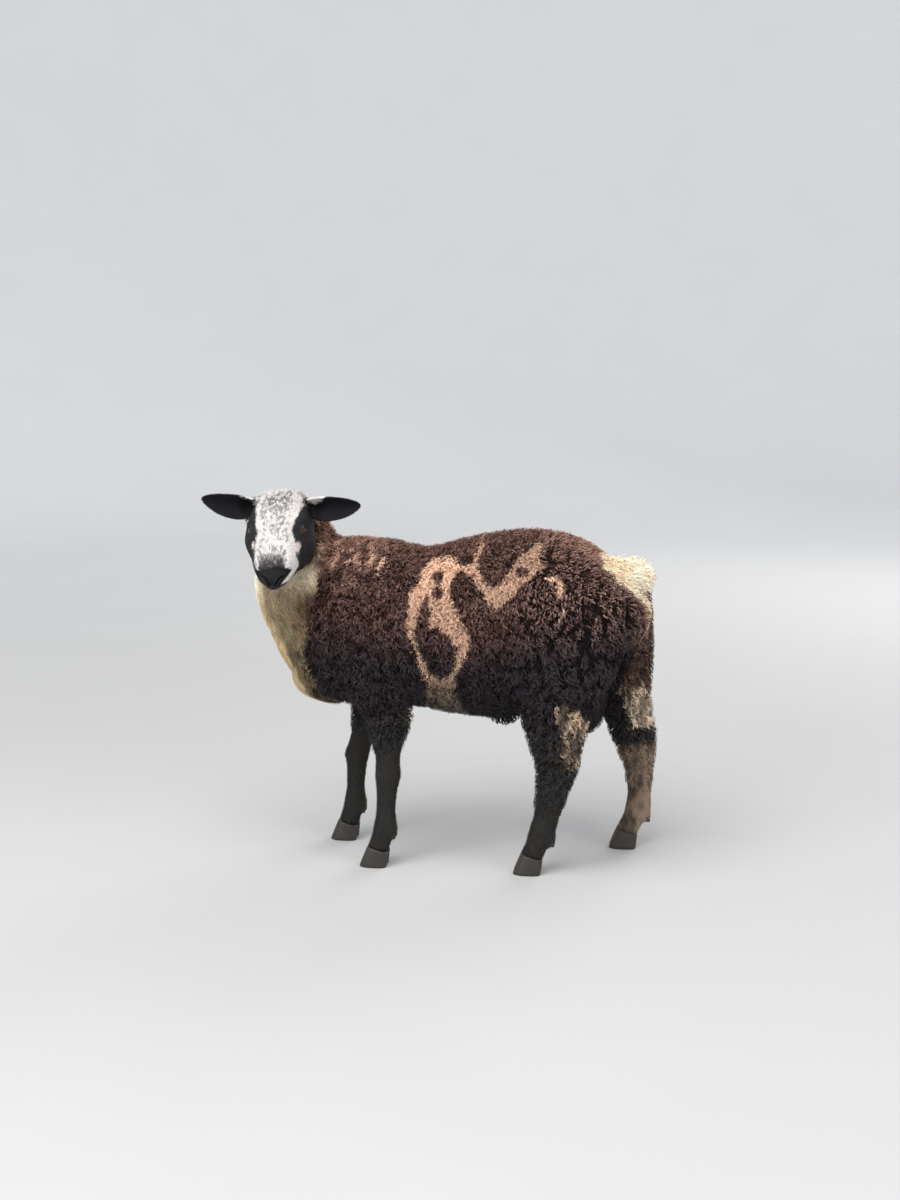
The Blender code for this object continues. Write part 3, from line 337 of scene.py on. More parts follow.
# Mottled brown of the far cannon, made paler as painted light where the body shades it
HAIR_FAR_BROWN_LIT = (0.260, 0.185, 0.135)
NOSE_SKIN = (0.0065, 0.0070, 0.0076)
EYE_WHITE, EYE_IRIS = (0.030, 0.020, 0.016), (0.030, 0.014, 0.005)
EYE_RAY, EYE_PUPIL = (0.060, 0.028, 0.009), (0.004, 0.003, 0.004)
HORN_DARK, HORN_PALE = (0.010, 0.0085, 0.0075, 1), (0.024, 0.020, 0.017, 1)
HORN_DIRT = (0.038, 0.030, 0.023, 1)
# Floor darker in the middle, where the lights fall strongest, and paler up its curve: painted shade and
# painted light
FLOOR_NEAR, FLOOR_FAR = (0.50, 0.50, 0.495, 1), (0.84, 0.84, 0.83, 1)
SKY_COLOUR, SKY_STRENGTH = (0.90, 0.93, 1.0, 1), 0.58
# Lights: name, place, point that it looks at, size, power, colour
LIGHTS = [
    ("sky", (-0.8, -2.0, 4.0), (0, 0, 0.4), 3.5, 180, (1.0, 0.985, 0.96)),
    ("front", (-2.4, -3.4, 1.8), (-0.1, 0, 0.45), 2.2, 60, (0.97, 0.98, 1.0)),
    ("right", (3.2, -2.4, 1.6), (0.1, 0, 0.42), 2.4, 48, (1.0, 0.985, 0.96)),
    ("back", (2.0, 3.2, 2.6), (0.1, 0, 0.5), 2.2, 60, (1.0, 0.98, 0.95)),
]


def smooth_table(rows, at):
    """Rows of numbers read at steps of a Catmull-Rom curve through the given rows."""
    rows = np.array(rows, float)
    padded = np.vstack([2 * rows[0] - rows[1], rows, 2 * rows[-1] - rows[-2]])
    if np.ndim(at) == 0:
        at = np.linspace(0, len(rows) - 1, at)
    i = np.minimum(at.astype(int), len(rows) - 2)
    t = (at - i)[:, None]
    a, b, c, d = (padded[i + k] for k in range(4))
    return 0.5 * (2 * b + (c - a) * t + (2 * a - 5 * b + 4 * c - d) * t**2
                  + (3 * b - a - 3 * c + d) * t**3)


def soft_step(low, high, value):
    """0 below low, 1 above high, and 3t^2 - 2t^3 between them."""
    t = np.clip((value - low) / (high - low), 0, 1)
    return t * t * (3 - 2 * t)


def bell(value, spread):
    """1 at 0 and falling away on both sides: the exponential of less the square in spreads."""
    return np.exp(-(value / spread) ** 2)


def table_at(at, rows):
    """The second number of a table of pairs, read at places between its first numbers."""
    rows = np.array(rows)
    return np.interp(at, rows[:, 0], rows[:, 1])


def unit(ways):
    """Each row divided by its own length."""
    return ways / (np.linalg.norm(ways, axis=-1, keepdims=True) + 1e-12)


def grain(points, size, seed=0):
    """Smooth noise of -1 to 1: random numbers on a lattice of that size, blended by 3t^2 - 2t^3."""
    at = np.asarray(points) / size + 57.31 * (seed + 1)
    cell = np.floor(at).astype(np.int64)
    t = at - cell
    t = t * t * (3 - 2 * t)
    total = np.zeros(len(at))
    for corner in np.ndindex(2, 2, 2):
        c = cell + np.array(corner)
        h = (c[:, 0] * 73856093) ^ (c[:, 1] * 19349663) ^ (c[:, 2] * 83492791) ^ (seed * 2654435761)
        h = (h ^ (h >> 13)) * 1274126177 & 0xFFFFFFFF
        value = ((h ^ (h >> 16)) & 0xFFFF) / 32767.5 - 1
        share = np.prod(np.where(np.array(corner) == 1, t, 1 - t), axis=1)
        total += value * share
    return total


def drawn_grain(points, share, size, seed):
    """The same noise drawn out up and down: heights are shrunk to that share before it is read."""
    return grain(points * np.array([1, 1, share]), size, seed)


def ring_angles(sides):
    """Even angles round a section."""
    return np.arange(sides) * 2 * math.pi / sides


def superellipse(angle, squareness):
    """Cosine and sine raised to 2/squareness: a circle at 2, squarer above."""
    power = 2.0 / squareness
    across = np.sign(np.cos(angle)) * np.abs(np.cos(angle)) ** power
    up = np.sign(np.sin(angle)) * np.abs(np.sin(angle)) ** power
    return across, up


def tube(rings):
    """Points and triangles of one closed skin through an array of rings, a fan at each end."""
    count, sides, _ = rings.shape
    points = np.vstack([rings.reshape(-1, 3), rings[0].mean(0), rings[-1].mean(0)])
    k, j = np.meshgrid(np.arange(count - 1), np.arange(sides), indexing="ij")
    a, b = (k * sides + j).ravel(), (k * sides + (j + 1) % sides).ravel()
    c, d = b + sides, a + sides
    side = np.arange(sides)
    turned = (side + 1) % sides
    last = (count - 1) * sides
    faces = np.vstack([np.stack([a, b, c], 1), np.stack([a, c, d], 1),
                       np.stack([turned, side, np.full(sides, count * sides)], 1),
                       np.stack([last + side, last + turned, np.full(sides, count * sides + 1)], 1)])
    return points, faces


def outwards(points, faces):
    """The same closed surface with its triangles turned so that its volume is positive."""
    a, b, c = points[faces[:, 0]], points[faces[:, 1]], points[faces[:, 2]]
    volume = np.einsum("ij,ij->i", a, np.cross(b, c)).sum()
    return points, faces if volume > 0 else faces[:, ::-1]


def several(parts):
    """Several surfaces as one array of points and one of triangles."""
    start = np.cumsum([0] + [len(p) for p, _ in parts[:-1]])
    return np.vstack([p for p, _ in parts]), np.vstack([f + s for (_, f), s in zip(parts, start)])


def mesh_of(name, points, faces):
    """A mesh from an array of points and one of triangles."""
    mesh = bpy.data.meshes.new(name)
    mesh.vertices.add(len(points))
    mesh.vertices.foreach_set("co", np.asarray(points, np.float32).ravel())
    mesh.loops.add(faces.size)
    mesh.loops.foreach_set("vertex_index", np.asarray(faces, np.int32).ravel())
    mesh.polygons.add(len(faces))
    mesh.polygons.foreach_set("loop_start", np.arange(0, faces.size, 3, dtype=np.int32))
    mesh.update(calc_edges=True)
    return mesh


def object_of(name, mesh):
    """An object at the origin that shows the mesh."""
    obj = bpy.data.objects.new(name, mesh)
    bpy.context.scene.collection.objects.link(obj)
    return obj


def arrays_of(mesh):
    """Points and triangles of a mesh as arrays."""
    points = np.empty(len(mesh.vertices) * 3, np.float32)
    mesh.vertices.foreach_get("co", points)
    mesh.calc_loop_triangles()
    faces = np.empty(len(mesh.loop_triangles) * 3, np.int32)
    mesh.loop_triangles.foreach_get("vertices", faces)
    return points.reshape(-1, 3).astype(float), faces.reshape(-1, 3)


def point_normals(points, faces):
    """Mean normal at each point of the triangles round it, weighted by their area."""
    a, b, c = (points[faces[:, k]] for k in range(3))
    face = np.cross(b - a, c - a)
    total = np.zeros_like(points)
    for k in range(3):
        for axis in range(3):
            total[:, axis] += np.bincount(faces[:, k], face[:, axis], len(points))
    return unit(total)


def smoothed(points, faces, rounds, weight, share=0.5):
    """Each point moved share of the way to the mean of its neighbours, where weight is 1."""
    ends = np.vstack([faces[:, [0, 1]], faces[:, [1, 2]], faces[:, [2, 0]]])
    both = np.vstack([ends, ends[:, ::-1]])
    count = np.bincount(both[:, 0], minlength=len(points))[:, None]
    for _ in range(rounds):
        mean = np.stack([np.bincount(both[:, 0], points[both[:, 1], k], len(points)) for k in range(3)], 1)
        points = points + (mean / np.maximum(count, 1) - points) * share * weight[:, None]
    return points


def trunk_surface(inset):
    """Superellipse sections along the back; half sizes are those of the coat less inset."""
    angle = ring_angles(TRUNK_SIDES)
    rings = []
    for x, back, belly, wide, square in smooth_table(TRUNK, 90):
        across, up = superellipse(angle, square)
        x -= inset * (x - 0.04) / 0.34
        rings.append(np.stack([np.full(TRUNK_SIDES, x), (wide - inset) * across,
                               (back + belly) / 2 + ((back - belly) / 2 - inset) * up], 1))
    return tube(np.array(rings))


def neck_surface(inset):
    """Superellipse sections, each square to the way the neck runs, turning towards the head."""
    across, up = superellipse(ring_angles(NECK_SIDES), 2.1)
    rings = []
    for row in smooth_table([(*c, d, w, *run, *crest) for c, d, w, run, crest in NECK], 40):
        run = unit(row[5:8])
        crest = unit(row[8:11] - run * (row[8:11] @ run))
        rings.append(row[:3] + np.outer(across * (row[4] - inset), np.cross(run, crest))
                     + np.outer(up * (row[3] - inset), crest))
    return tube(np.array(rings))


def leg_surface(rows, sign, inset):
    """Level superellipse sections down a leg; the lowest tilt with the coronet."""
    across, up = superellipse(ring_angles(LEG_SIDES), 2.1)
    rings = []
    for x, y, z, long, wide in smooth_table(rows, 110):
        slim = inset * np.clip((z - 0.2) / 0.1, 0, 1)
        ring = np.stack([x + (long - slim) * across, sign * (y + (wide - slim * 0.5) * up),
                         np.full(LEG_SIDES, z)], 1)
        tilt = math.tan(CORONET_TILT) * soft_step(0.075, 0.034, z)
        ring[:, 2] -= (ring[:, 0] - x) * tilt
        rings.append(ring)
    return tube(np.array(rings))


def fore_rows(side):
    """Stations of one foreleg, from inside the shoulder to the coronet."""
    elbow, knee, foot = FORE_LEAN[side]
    ahead = (elbow - FORE_LEAN["left"][0]) * 0.5
    rows = [(x + ahead, y, z, long, wide) for x, y, z, long, wide in FORE_UPPER]
    for z, long, wide in FORE_LOWER:
        share = (ELBOW_HEIGHT - z) / (ELBOW_HEIGHT - KNEE_HEIGHT)
        x = elbow + (knee - elbow) * min(share, 1.0)
        if share > 1:
            x = knee + (foot - knee) * (KNEE_HEIGHT - z) / (KNEE_HEIGHT - CORONET_HEIGHT)
        if z < 0.07:
            x -= 0.010 * (FETLOCK_HEIGHT - z) / 0.044
        rows.append((x, 0.080, z, long, wide))
    return rows


def dewclaw_row(rows):
    """The station of a leg that its dewclaws are set against."""
    return min(rows, key=lambda row: abs(row[2] - DEWCLAW_HEIGHT - 0.016))


def tail_surface():
    """Round sections square to the tail's curve, a little wider than high."""
    table = smooth_table(TAIL, 36)
    ahead = unit(np.gradient(table[:, :2], axis=0))
    angle = ring_angles(ROUND_SIDES)
    x, z, r = (table[:, k, None] for k in range(3))
    rings = np.stack([x - np.sin(angle) * r * ahead[:, 1:], np.cos(angle) * r * 1.15,
                      z + np.sin(angle) * r * ahead[:, :1]], 2)
    return tube(rings)


def round_body(place, sizes):
    """An ellipsoid: sine and cosine of two angles times its half sizes."""
    turn = np.linspace(0.02, math.pi - 0.02, 30)[:, None]
    angle = ring_angles(ROUND_SIDES)
    rings = np.stack([np.sin(turn) * np.cos(angle), np.sin(turn) * np.sin(angle),
                      np.cos(turn) * np.ones(ROUND_SIDES)], 2)
    return tube(np.array(place) + rings * np.array(sizes))


def evaluated(obj):
    """Points and triangles of an object as its modifiers leave it."""
    bpy.context.view_layer.update()
    graph = bpy.context.evaluated_depsgraph_get()
    mesh = bpy.data.meshes.new_from_object(obj.evaluated_get(graph))
    found = arrays_of(mesh)
    bpy.data.meshes.remove(mesh)
    return found


def remeshed(points, faces, size):
    """One skin over all the closed surfaces, from voxels of that size."""
    obj = object_of("lump", mesh_of("lump", points, faces))
    step = obj.modifiers.new("voxels", "REMESH")
    step.mode = "VOXEL"
    step.voxel_size = size
    found = evaluated(obj)
    bpy.data.objects.remove(obj)
    return found


def head_place(s, side, height):
    """Points of the head frame in the lamb's own place."""
    s, side, height = (np.asarray(v, float)[..., None] for v in (s, side, height))
    return HEAD_AT + MUZZLE_WAY * s + LEFT_WAY * side + CROWN_WAY * height


def head_frame(points):
    """Distance from the poll, sideways and height of each point in the head frame."""
    away = points - HEAD_AT
    return away @ MUZZLE_WAY, away @ LEFT_WAY, away @ CROWN_WAY


def jaw_lean(s, height):
    """How far the lower cheeks stand over to the lamb's left: a bell along the head, 0 above the jaw."""
    at, spread, amount = JAW_LEAN
    return amount * bell(s - at, spread) * soft_step(-0.005, -0.040, height)


def head_section(row, angle):
    """Sideways and height round one section of the head, raised by the forms of the face."""
    s, brow, jaw, wide, square = row
    across, up = superellipse(angle, square)
    middle, tall = (brow + jaw) / 2, (brow - jaw) / 2
    side = wide * across * (1 - JAW_TAPER * np.clip(-up, 0, 1) ** 1.4)
    height = middle + tall * up
    reach = np.hypot(side, height - middle) + 1e-9
    rise = np.zeros(len(angle))
    for fs, fv, fu, ds, dv, du, amount in FACE_FORMS:
        rise += amount * np.exp(-((s - fs) / ds) ** 2 - ((np.abs(side) - fv) / dv) ** 2
                                - ((height - fu) / du) ** 2)
    height_shown = middle + (height - middle) * (1 + rise / reach)
    return side * (1 + rise / reach) + jaw_lean(s, height_shown), height_shown


def face_point(at, sign):
    """The point of the skin at that distance from the poll and that height, on one side."""
    rows = smooth_table(HEAD, 401)
    row = rows[np.abs(rows[:, 0] - at[0]).argmin()]
    side, height = head_section(row, ring_angles(721))
    far = np.abs(height - at[1]) + np.where(side >= 0, 0, 1)
    return head_place(at[0], sign * side[far.argmin()], at[1])


def eye_seat(sign):
    """The middle of one eyeball and the way the eye looks, square to the skin there."""
    s, height = EYE_AT
    along = face_point((s + 0.012, height), sign) - face_point((s - 0.012, height), sign)
    above = face_point((s, height + 0.008), sign) - face_point((s, height - 0.008), sign)
    out = unit(np.cross(along, above) * -sign)
    return face_point(EYE_AT, sign) - out * EYE_DEPTH, out


def crowded(low, high, count, crowds):
    """Numbers from low to high, closer together about each (middle, spread, strength)."""
    fine = np.linspace(low, high, 2000)
    weight = np.ones(2000)
    for middle, spread, strength in crowds:
        weight += strength * bell(fine - middle, spread)
    total = np.concatenate([[0], np.cumsum((weight[1:] + weight[:-1]) / 2)])
    return np.interp(np.linspace(0, total[-1], count), total, fine)


def lid_ways(out):
    """The ways along and across an eye's opening, square to the way the eye looks."""
    long_way = MUZZLE_WAY * 0.96 + CROWN_WAY * 0.22
    long_way = unit(long_way - out * (long_way @ out))
    tall_way = np.cross(out, long_way)
    return long_way, tall_way if tall_way @ CROWN_WAY > 0 else -tall_way


def lids_over(points, sign):
    """Moves skin near one eye along the way it looks.

    Inside an almond opening the skin sinks under the eyeball. Outside it follows a sphere a lid's
    thickness larger than the eyeball, with a rim, and blends into the face; a crease lies above.
    """
    eye, out = eye_seat(sign)
    long_way, tall_way = lid_ways(out)
    away = points - eye
    p, q, h = away @ long_way, away @ tall_way, away @ out
    near = (np.hypot(p, q) < 0.032) & (h > -0.004)
    flat2 = p * p + q * q
    corner = 1 - 0.30 * np.clip(np.abs(p) / LID_HALF[0], 0, 1) ** 2
    half_tall = LID_HALF[1] * corner * np.where(q > 0, 1.08, 0.92)
    open_at = np.sqrt((p / LID_HALF[0]) ** 2 + (q / half_tall) ** 2)
    ball = np.sqrt(np.clip(EYE_RADIUS**2 - flat2, 1e-8, None))
    lid = np.sqrt(np.clip((EYE_RADIUS + LID_THICK) ** 2 - flat2, 1e-8, None))
    lid = np.where(flat2 < (EYE_RADIUS * 0.93) ** 2, lid, -1)
    outer = np.maximum(h, lid + 0.0002)
    blend = soft_step(1.0, 1.75, open_at)
    outer = lid * (1 - blend) + outer * blend
    outer = np.where(lid < 0, h, outer)
    outer = outer + 0.0010 * bell(open_at - 1.14, 0.12)
    crease = np.hypot(p / (LID_HALF[0] * 1.35), (q + 0.0005) / (LID_HALF[1] * 1.75))
    outer = outer - 0.0013 * bell(crease - 1, 0.13) * soft_step(-0.2, 0.5, q / LID_HALF[1])
    outer = outer - 0.0007 * bell(crease - 1.05, 0.12) * soft_step(0.0, -0.7, q / LID_HALF[1])
    inner = np.where(flat2 < EYE_RADIUS**2, ball - 0.0030, h)
    target = np.where(open_at < 1.0, inner, outer)
    return points + np.where(near, target - h, 0.0)[:, None] * out


def segment_gap(points, a, b):
    """Distance of each point from the straight line between a and b."""
    t = np.clip(((points - a) @ (b - a)) / ((b - a) @ (b - a) + 1e-12), 0, 1)
    return np.linalg.norm(points - a - t[:, None] * (b - a), axis=1)


def near_path(points, path):
    """Distance of each point from a curve given by a few places."""
    line = smooth_table(path, 60)
    best = np.full(len(points), 1e9)
    for a, b in zip(line[:-1], line[1:]):
        best = np.minimum(best, segment_gap(points, a, b))
    return best


def head_surface():
    """Sections of the head, close together at the eyes, nostrils and mouth.

    Grooves are pushed in along the normal by depth times exp(-(distance/width)^2): the mouth line,
    the split under the nose and the comma of each nostril, whose wing swells round it.
    """
    rows = smooth_table(HEAD, 1201)
    at = crowded(rows[0, 0], rows[-1, 0], 196, [(0.087, 0.020, 1.7), (0.200, 0.020, 1.8)])
    order = np.interp(at, rows[:, 0], np.arange(1201) / (1200 / (len(HEAD) - 1)))
    order = np.concatenate([order[:-6], np.linspace(order[-6], len(HEAD) - 1, 6)])
    angle = crowded(-math.pi / 2, math.pi / 2, 113, [(0.57, 0.26, 2.2), (-0.10, 0.30, 0.8)])[:-1]
    angle = np.concatenate([angle, math.pi - angle[::-1]])
    rings = []
    for row in smooth_table(HEAD, order):
        side, height = head_section(row, angle)
        rings.append(head_place(np.full(len(angle), row[0]), side, height))
    points, faces = outwards(*tube(np.array(rings)))
    s, side, height = head_frame(points)
    normal = point_normals(points, faces)
    front = s > 0.125
    rise = np.zeros(len(points))
    gap = on_mouth(points[front])
    rise[front] += 0.0009 * bell(gap - 0.0040, 0.0022) - 0.0026 * bell(gap, 0.0013)
    for sign in (1, -1):
        wanted = np.array([head_place(a, b * sign, c) for a, b, c in NOSTRIL_PATH])
        path = np.array([points[np.linalg.norm(points - place, axis=1).argmin()] for place in wanted])
        gap = near_path(points[front], path)
        rise[front] += 0.0013 * bell(gap - 0.0036, 0.0016) - 0.0050 * bell(gap, 0.0014)
    split = bell(side, 0.0010) * soft_step(0.196, 0.202, s) * soft_step(-0.0125, -0.010, height)
    rise -= 0.0014 * split
    folds = [near_path(points, np.array([face_point(at, sign) for at in CHEEK_FOLD])) for sign in (1, -1)]
    rise -= 0.0008 * bell(np.minimum(*folds), 0.0035)
    points = points + normal * rise[:, None]
    for sign in (1, -1):
        points = lids_over(points, sign)
    return points, faces


def ear_frame(side):
    """Root, way out to the tip, way its opening looks, and way across one ear."""
    sign = HEAD_SIGN[side]
    root = head_place(EAR_ROOT[0], sign * EAR_ROOT[1], EAR_ROOT[2])
    along = unit(LEFT_WAY * sign + np.array([0, 0, EAR_RISE[side]]) - FACE_LEVEL * 0.10)
    opening = unit(FACE_LEVEL - np.array([0, 0, 0.28]))
    opening = unit(opening - along * (opening @ along))
    return root, along, opening, np.cross(along, opening)


def ear_surface(side):
    """Crescent sections: an arc bowed back by 1 - a^2, thinner at its two edges."""
    root, along, opening, wide_way = ear_frame(side)
    a = np.sin(np.linspace(-1, 1, 22) * math.pi / 2)
    edge = 1 - 0.70 * np.abs(a) ** 3
    rings = []
    for share, chord, cup, thick in smooth_table(EAR, 60):
        bow = root + along * share * EAR_LENGTH
        bow = bow + np.array([0, 0, 1.0]) * (EAR_LIFT[side] * share**2 - 0.020 * share * (1 - share))
        back = -cup * (1 - a * a)
        outer = bow + np.outer(a * chord / 2, wide_way) + np.outer(back - thick * edge / 2, opening)
        inner = bow + np.outer(a * chord * 0.46, wide_way) + np.outer(back + thick * edge / 2, opening)
        rings.append(np.vstack([outer, inner[::-1]]))
    return outwards(*tube(np.array(rings)))


def flesh_surface():
    """Trunk, neck, legs and tail as one skin, from voxels, then smoothed."""
    parts = [trunk_surface(COAT_DEPTH), neck_surface(COAT_DEPTH), tail_surface(),
             round_body(SCROTUM_AT, SCROTUM_SIZE), round_body(SHEATH_AT, SHEATH_SIZE)]
    for side, sign in SIDE_SIGN.items():
        parts.append(leg_surface(fore_rows(side), sign, 0.0))
        parts.append(leg_surface(HIND[side], sign, COAT_DEPTH))
        for rows in (fore_rows(side), HIND[side]):
            at = dewclaw_row(rows)
            for aside in (-1, 1):
                place = (at[0] + at[3] * 0.58, sign * (at[1] + aside * at[4] * 0.46), DEWCLAW_HEIGHT + 0.009)
                parts.append(round_body(place, (0.0125, 0.0100, 0.0170)))
    points, faces = several([outwards(p, f) for p, f in parts])
    points, faces = remeshed(points, faces, VOXEL)
    return smoothed(points, faces, 6, np.ones(len(points))), faces


def united(parts):
    """One Boolean union of closed surfaces, as points and triangles."""
    objs = [object_of(f"piece_{k}", mesh_of(f"piece_{k}", p, f)) for k, (p, f) in enumerate(parts)]
    others = bpy.data.collections.new("others")
    for obj in objs[1:]:
        others.objects.link(obj)
    step = objs[0].modifiers.new("join", "BOOLEAN")
    step.operation = "UNION"
    step.operand_type = "COLLECTION"
    step.collection = others
    step.solver = "MANIFOLD"
    found = evaluated(objs[0])
    for obj in objs:
        bpy.data.objects.remove(obj)
    bpy.data.collections.remove(others)
    return found


def skin_surface():
    """The whole skin, with the crease where the head meets the neck smoothed away."""
    points, faces = united([flesh_surface(), head_surface(), ear_surface("left"), ear_surface("right")])
    s, side, _ = head_frame(points)
    join = soft_step(0.050, 0.010, np.abs(s - 0.020)) * (s < 0.09) * soft_step(0.060, 0.040, np.abs(side))
    join = np.where(np.linalg.norm(points - HEAD_AT, axis=1) < 0.16, join, 0)
    return smoothed(points, faces, 4, join), faces


def outline_gap(along, height, outline):
    """Distance from an outline in two numbers, less than 0 inside it."""
    flat = np.stack([along, height], 1)
    ring = np.array(outline)
    best = np.full(len(flat), 1e9)
    inside = np.zeros(len(flat), bool)
    for a, b in zip(ring, np.roll(ring, -1, axis=0)):
        best = np.minimum(best, segment_gap(flat, a, b))
        crosses = (a[1] > flat[:, 1]) != (b[1] > flat[:, 1])
        level = a[0] + (flat[:, 1] - a[1]) * (b[0] - a[0]) / (b[1] - a[1] + 1e-12)
        inside ^= crosses & (flat[:, 0] < level)
    return np.where(inside, -best, best)


def in_spots(along, height, spots, fray):
    """1 inside any ellipse of the list, its edge frayed."""
    found = np.zeros(len(along))
    for x, z, long, tall in spots:
        away = np.hypot((along - x) / long, (height - z) / tall)
        found = np.maximum(found, soft_step(1.15, 0.85, away + fray))
    return found


def on_head(points):
    """How far out each point lies in the head's own section: 1 on its skin, more outside it."""
    s, side, height = head_frame(points)
    rows = smooth_table(HEAD, 241)
    brow, jaw, wide, square = (np.interp(s, rows[:, 0], rows[:, k]) for k in range(1, 5))
    up = (height - (brow + jaw) / 2) / ((brow - jaw) / 2)
    across = (side - jaw_lean(s, height)) / (wide * (1 - JAW_TAPER * np.clip(-up, 0, 1) ** 1.4))
    reach = (np.abs(across) ** square + np.abs(up) ** square) ** (1 / square)
    return np.where((s > -0.060) & (s < 0.225), reach, 9.0)


def face_share(points):
    """1 on the short-haired face and poll, 0 on the fleece of neck and throat."""
    s, side, height = head_frame(points)
    ragged = s - table_at(height, FACE_EDGE) + 0.005 * grain(points, 0.012, 3)
    close = soft_step(1.22, 1.15, on_head(points) + 0.04 * grain(points, 0.008, 4))
    lips = (s > 0.150) & (s < 0.225) & (height > -0.060) & (np.abs(side) < 0.050)
    root = np.hypot(np.hypot(s - EAR_ROOT[0], height - EAR_ROOT[2]), np.abs(side) - EAR_ROOT[1] - 0.010)
    by_ear = soft_step(0.031, 0.027, root + 0.003 * grain(points, 0.010, 6))
    return np.where(lips, 1.0, np.maximum(soft_step(-0.003, 0.003, ragged) * close, by_ear))


def rump_share(points, low, high):
    """1 on the rump and thigh above a height that blends in from low to high, 0 before the hip."""
    return soft_step(0.09, 0.20, points[:, 0]) * soft_step(low, high, points[:, 2])


def poll_share(points):
    """1 on the top of the neck close behind the poll, where the wool is short and white."""
    s, side, height = head_frame(points)
    behind = soft_step(-0.095, -0.080, s) * soft_step(0.010, -0.010, s) * soft_step(-0.030, -0.010, height)
    return behind * soft_step(0.066, 0.056, np.abs(side) + 0.006 * grain(points, 0.012, 5))


def ear_share(points):
    """How far out along an ear each point lies, below 0 off the ears."""
    best = np.full(len(points), -1.0)
    for side in SIDE_SIGN:
        root, along, opening, wide = ear_frame(side)
        away = points - root
        share = (away @ along) / EAR_LENGTH
        on = (np.abs(away @ wide) < 0.034) & (away @ opening > -0.026) & (away @ opening < 0.016)
        on &= (share < 1.1) & (share > 0.0)
        best = np.where(on, np.maximum(best, share), best)
    return best


def wool_share(points):
    """1 where the fleece is full, less down the legs, 0 where the hair is short."""
    low = soft_step(0.095, 0.290, points[:, 2])
    front = soft_step(0.215, 0.300, points[:, 2])
    low = np.where(points[:, 0] < 0.05, front, low)
    x, y, z = points.T
    bare = (np.abs(y) < 0.038) & (z < 0.362) & (x > 0.215) & (x < 0.310)     # the scrotum
    full = low * (1 - face_share(points)) * (ear_share(points) < 0.03)
    return np.where(bare, 0.25, full) * (1 - 0.5 * poll_share(points))


def lie_of(points, normals):
    """The way the coat lies, in the skin: down and back on the body, back on the spine."""
    flat = soft_step(0.55, 0.90, np.abs(normals[:, 2]))[:, None]
    way = np.array([0.45, 0.0, -1.0]) * (1 - flat) + np.array([1.0, 0.0, -0.1]) * flat
    leg = soft_step(0.34, 0.24, points[:, 2])[:, None]
    way = way * (1 - leg) + np.array([0.12, 0.0, -1.0]) * leg
    neck = soft_step(-0.18, -0.24, points[:, 0])[:, None]
    way = way * (1 - neck) + np.array([0.15, 0.0, -1.0]) * neck
    tail = soft_step(0.300, 0.325, points[:, 0]) * soft_step(0.500, 0.515, points[:, 2])
    tail = (tail * (np.abs(points[:, 1]) < 0.055))[:, None]
    way = way * (1 - tail) + np.array([1.0, 0.0, -0.45]) * tail
    face = face_share(points)[:, None]
    _, side, height = head_frame(points)
    back = -MUZZLE_WAY + LEFT_WAY * (side * 6.0)[:, None]
    back = back - CROWN_WAY * soft_step(0.02, -0.03, height)[:, None] * 0.5
    way = way * (1 - face) + back * face
    for side_name in SIDE_SIGN:
        root, along, _, wide = ear_frame(side_name)
        share = ((points - root) @ along) / EAR_LENGTH
        on = ((ear_share(points) > 0.10) & (share > 0))[:, None]
        way = np.where(on, along + wide * ((points - root) @ wide)[:, None] * 8, way)
    turn = 0.55 * grain(points, 0.050, 11) + 0.25 * grain(points, 0.018, 12)
    way = unit(way - normals * np.einsum("ij,ij->i", way, normals)[:, None])
    cross = np.cross(normals, way)
    turn = turn * wool_share(points)
    return unit(way * np.cos(turn)[:, None] + cross * np.sin(turn)[:, None])


def mixed(first, second, share):
    """Colours blended by a share for each point."""
    return first * (1 - share[:, None]) + np.asarray(second) * share[:, None]


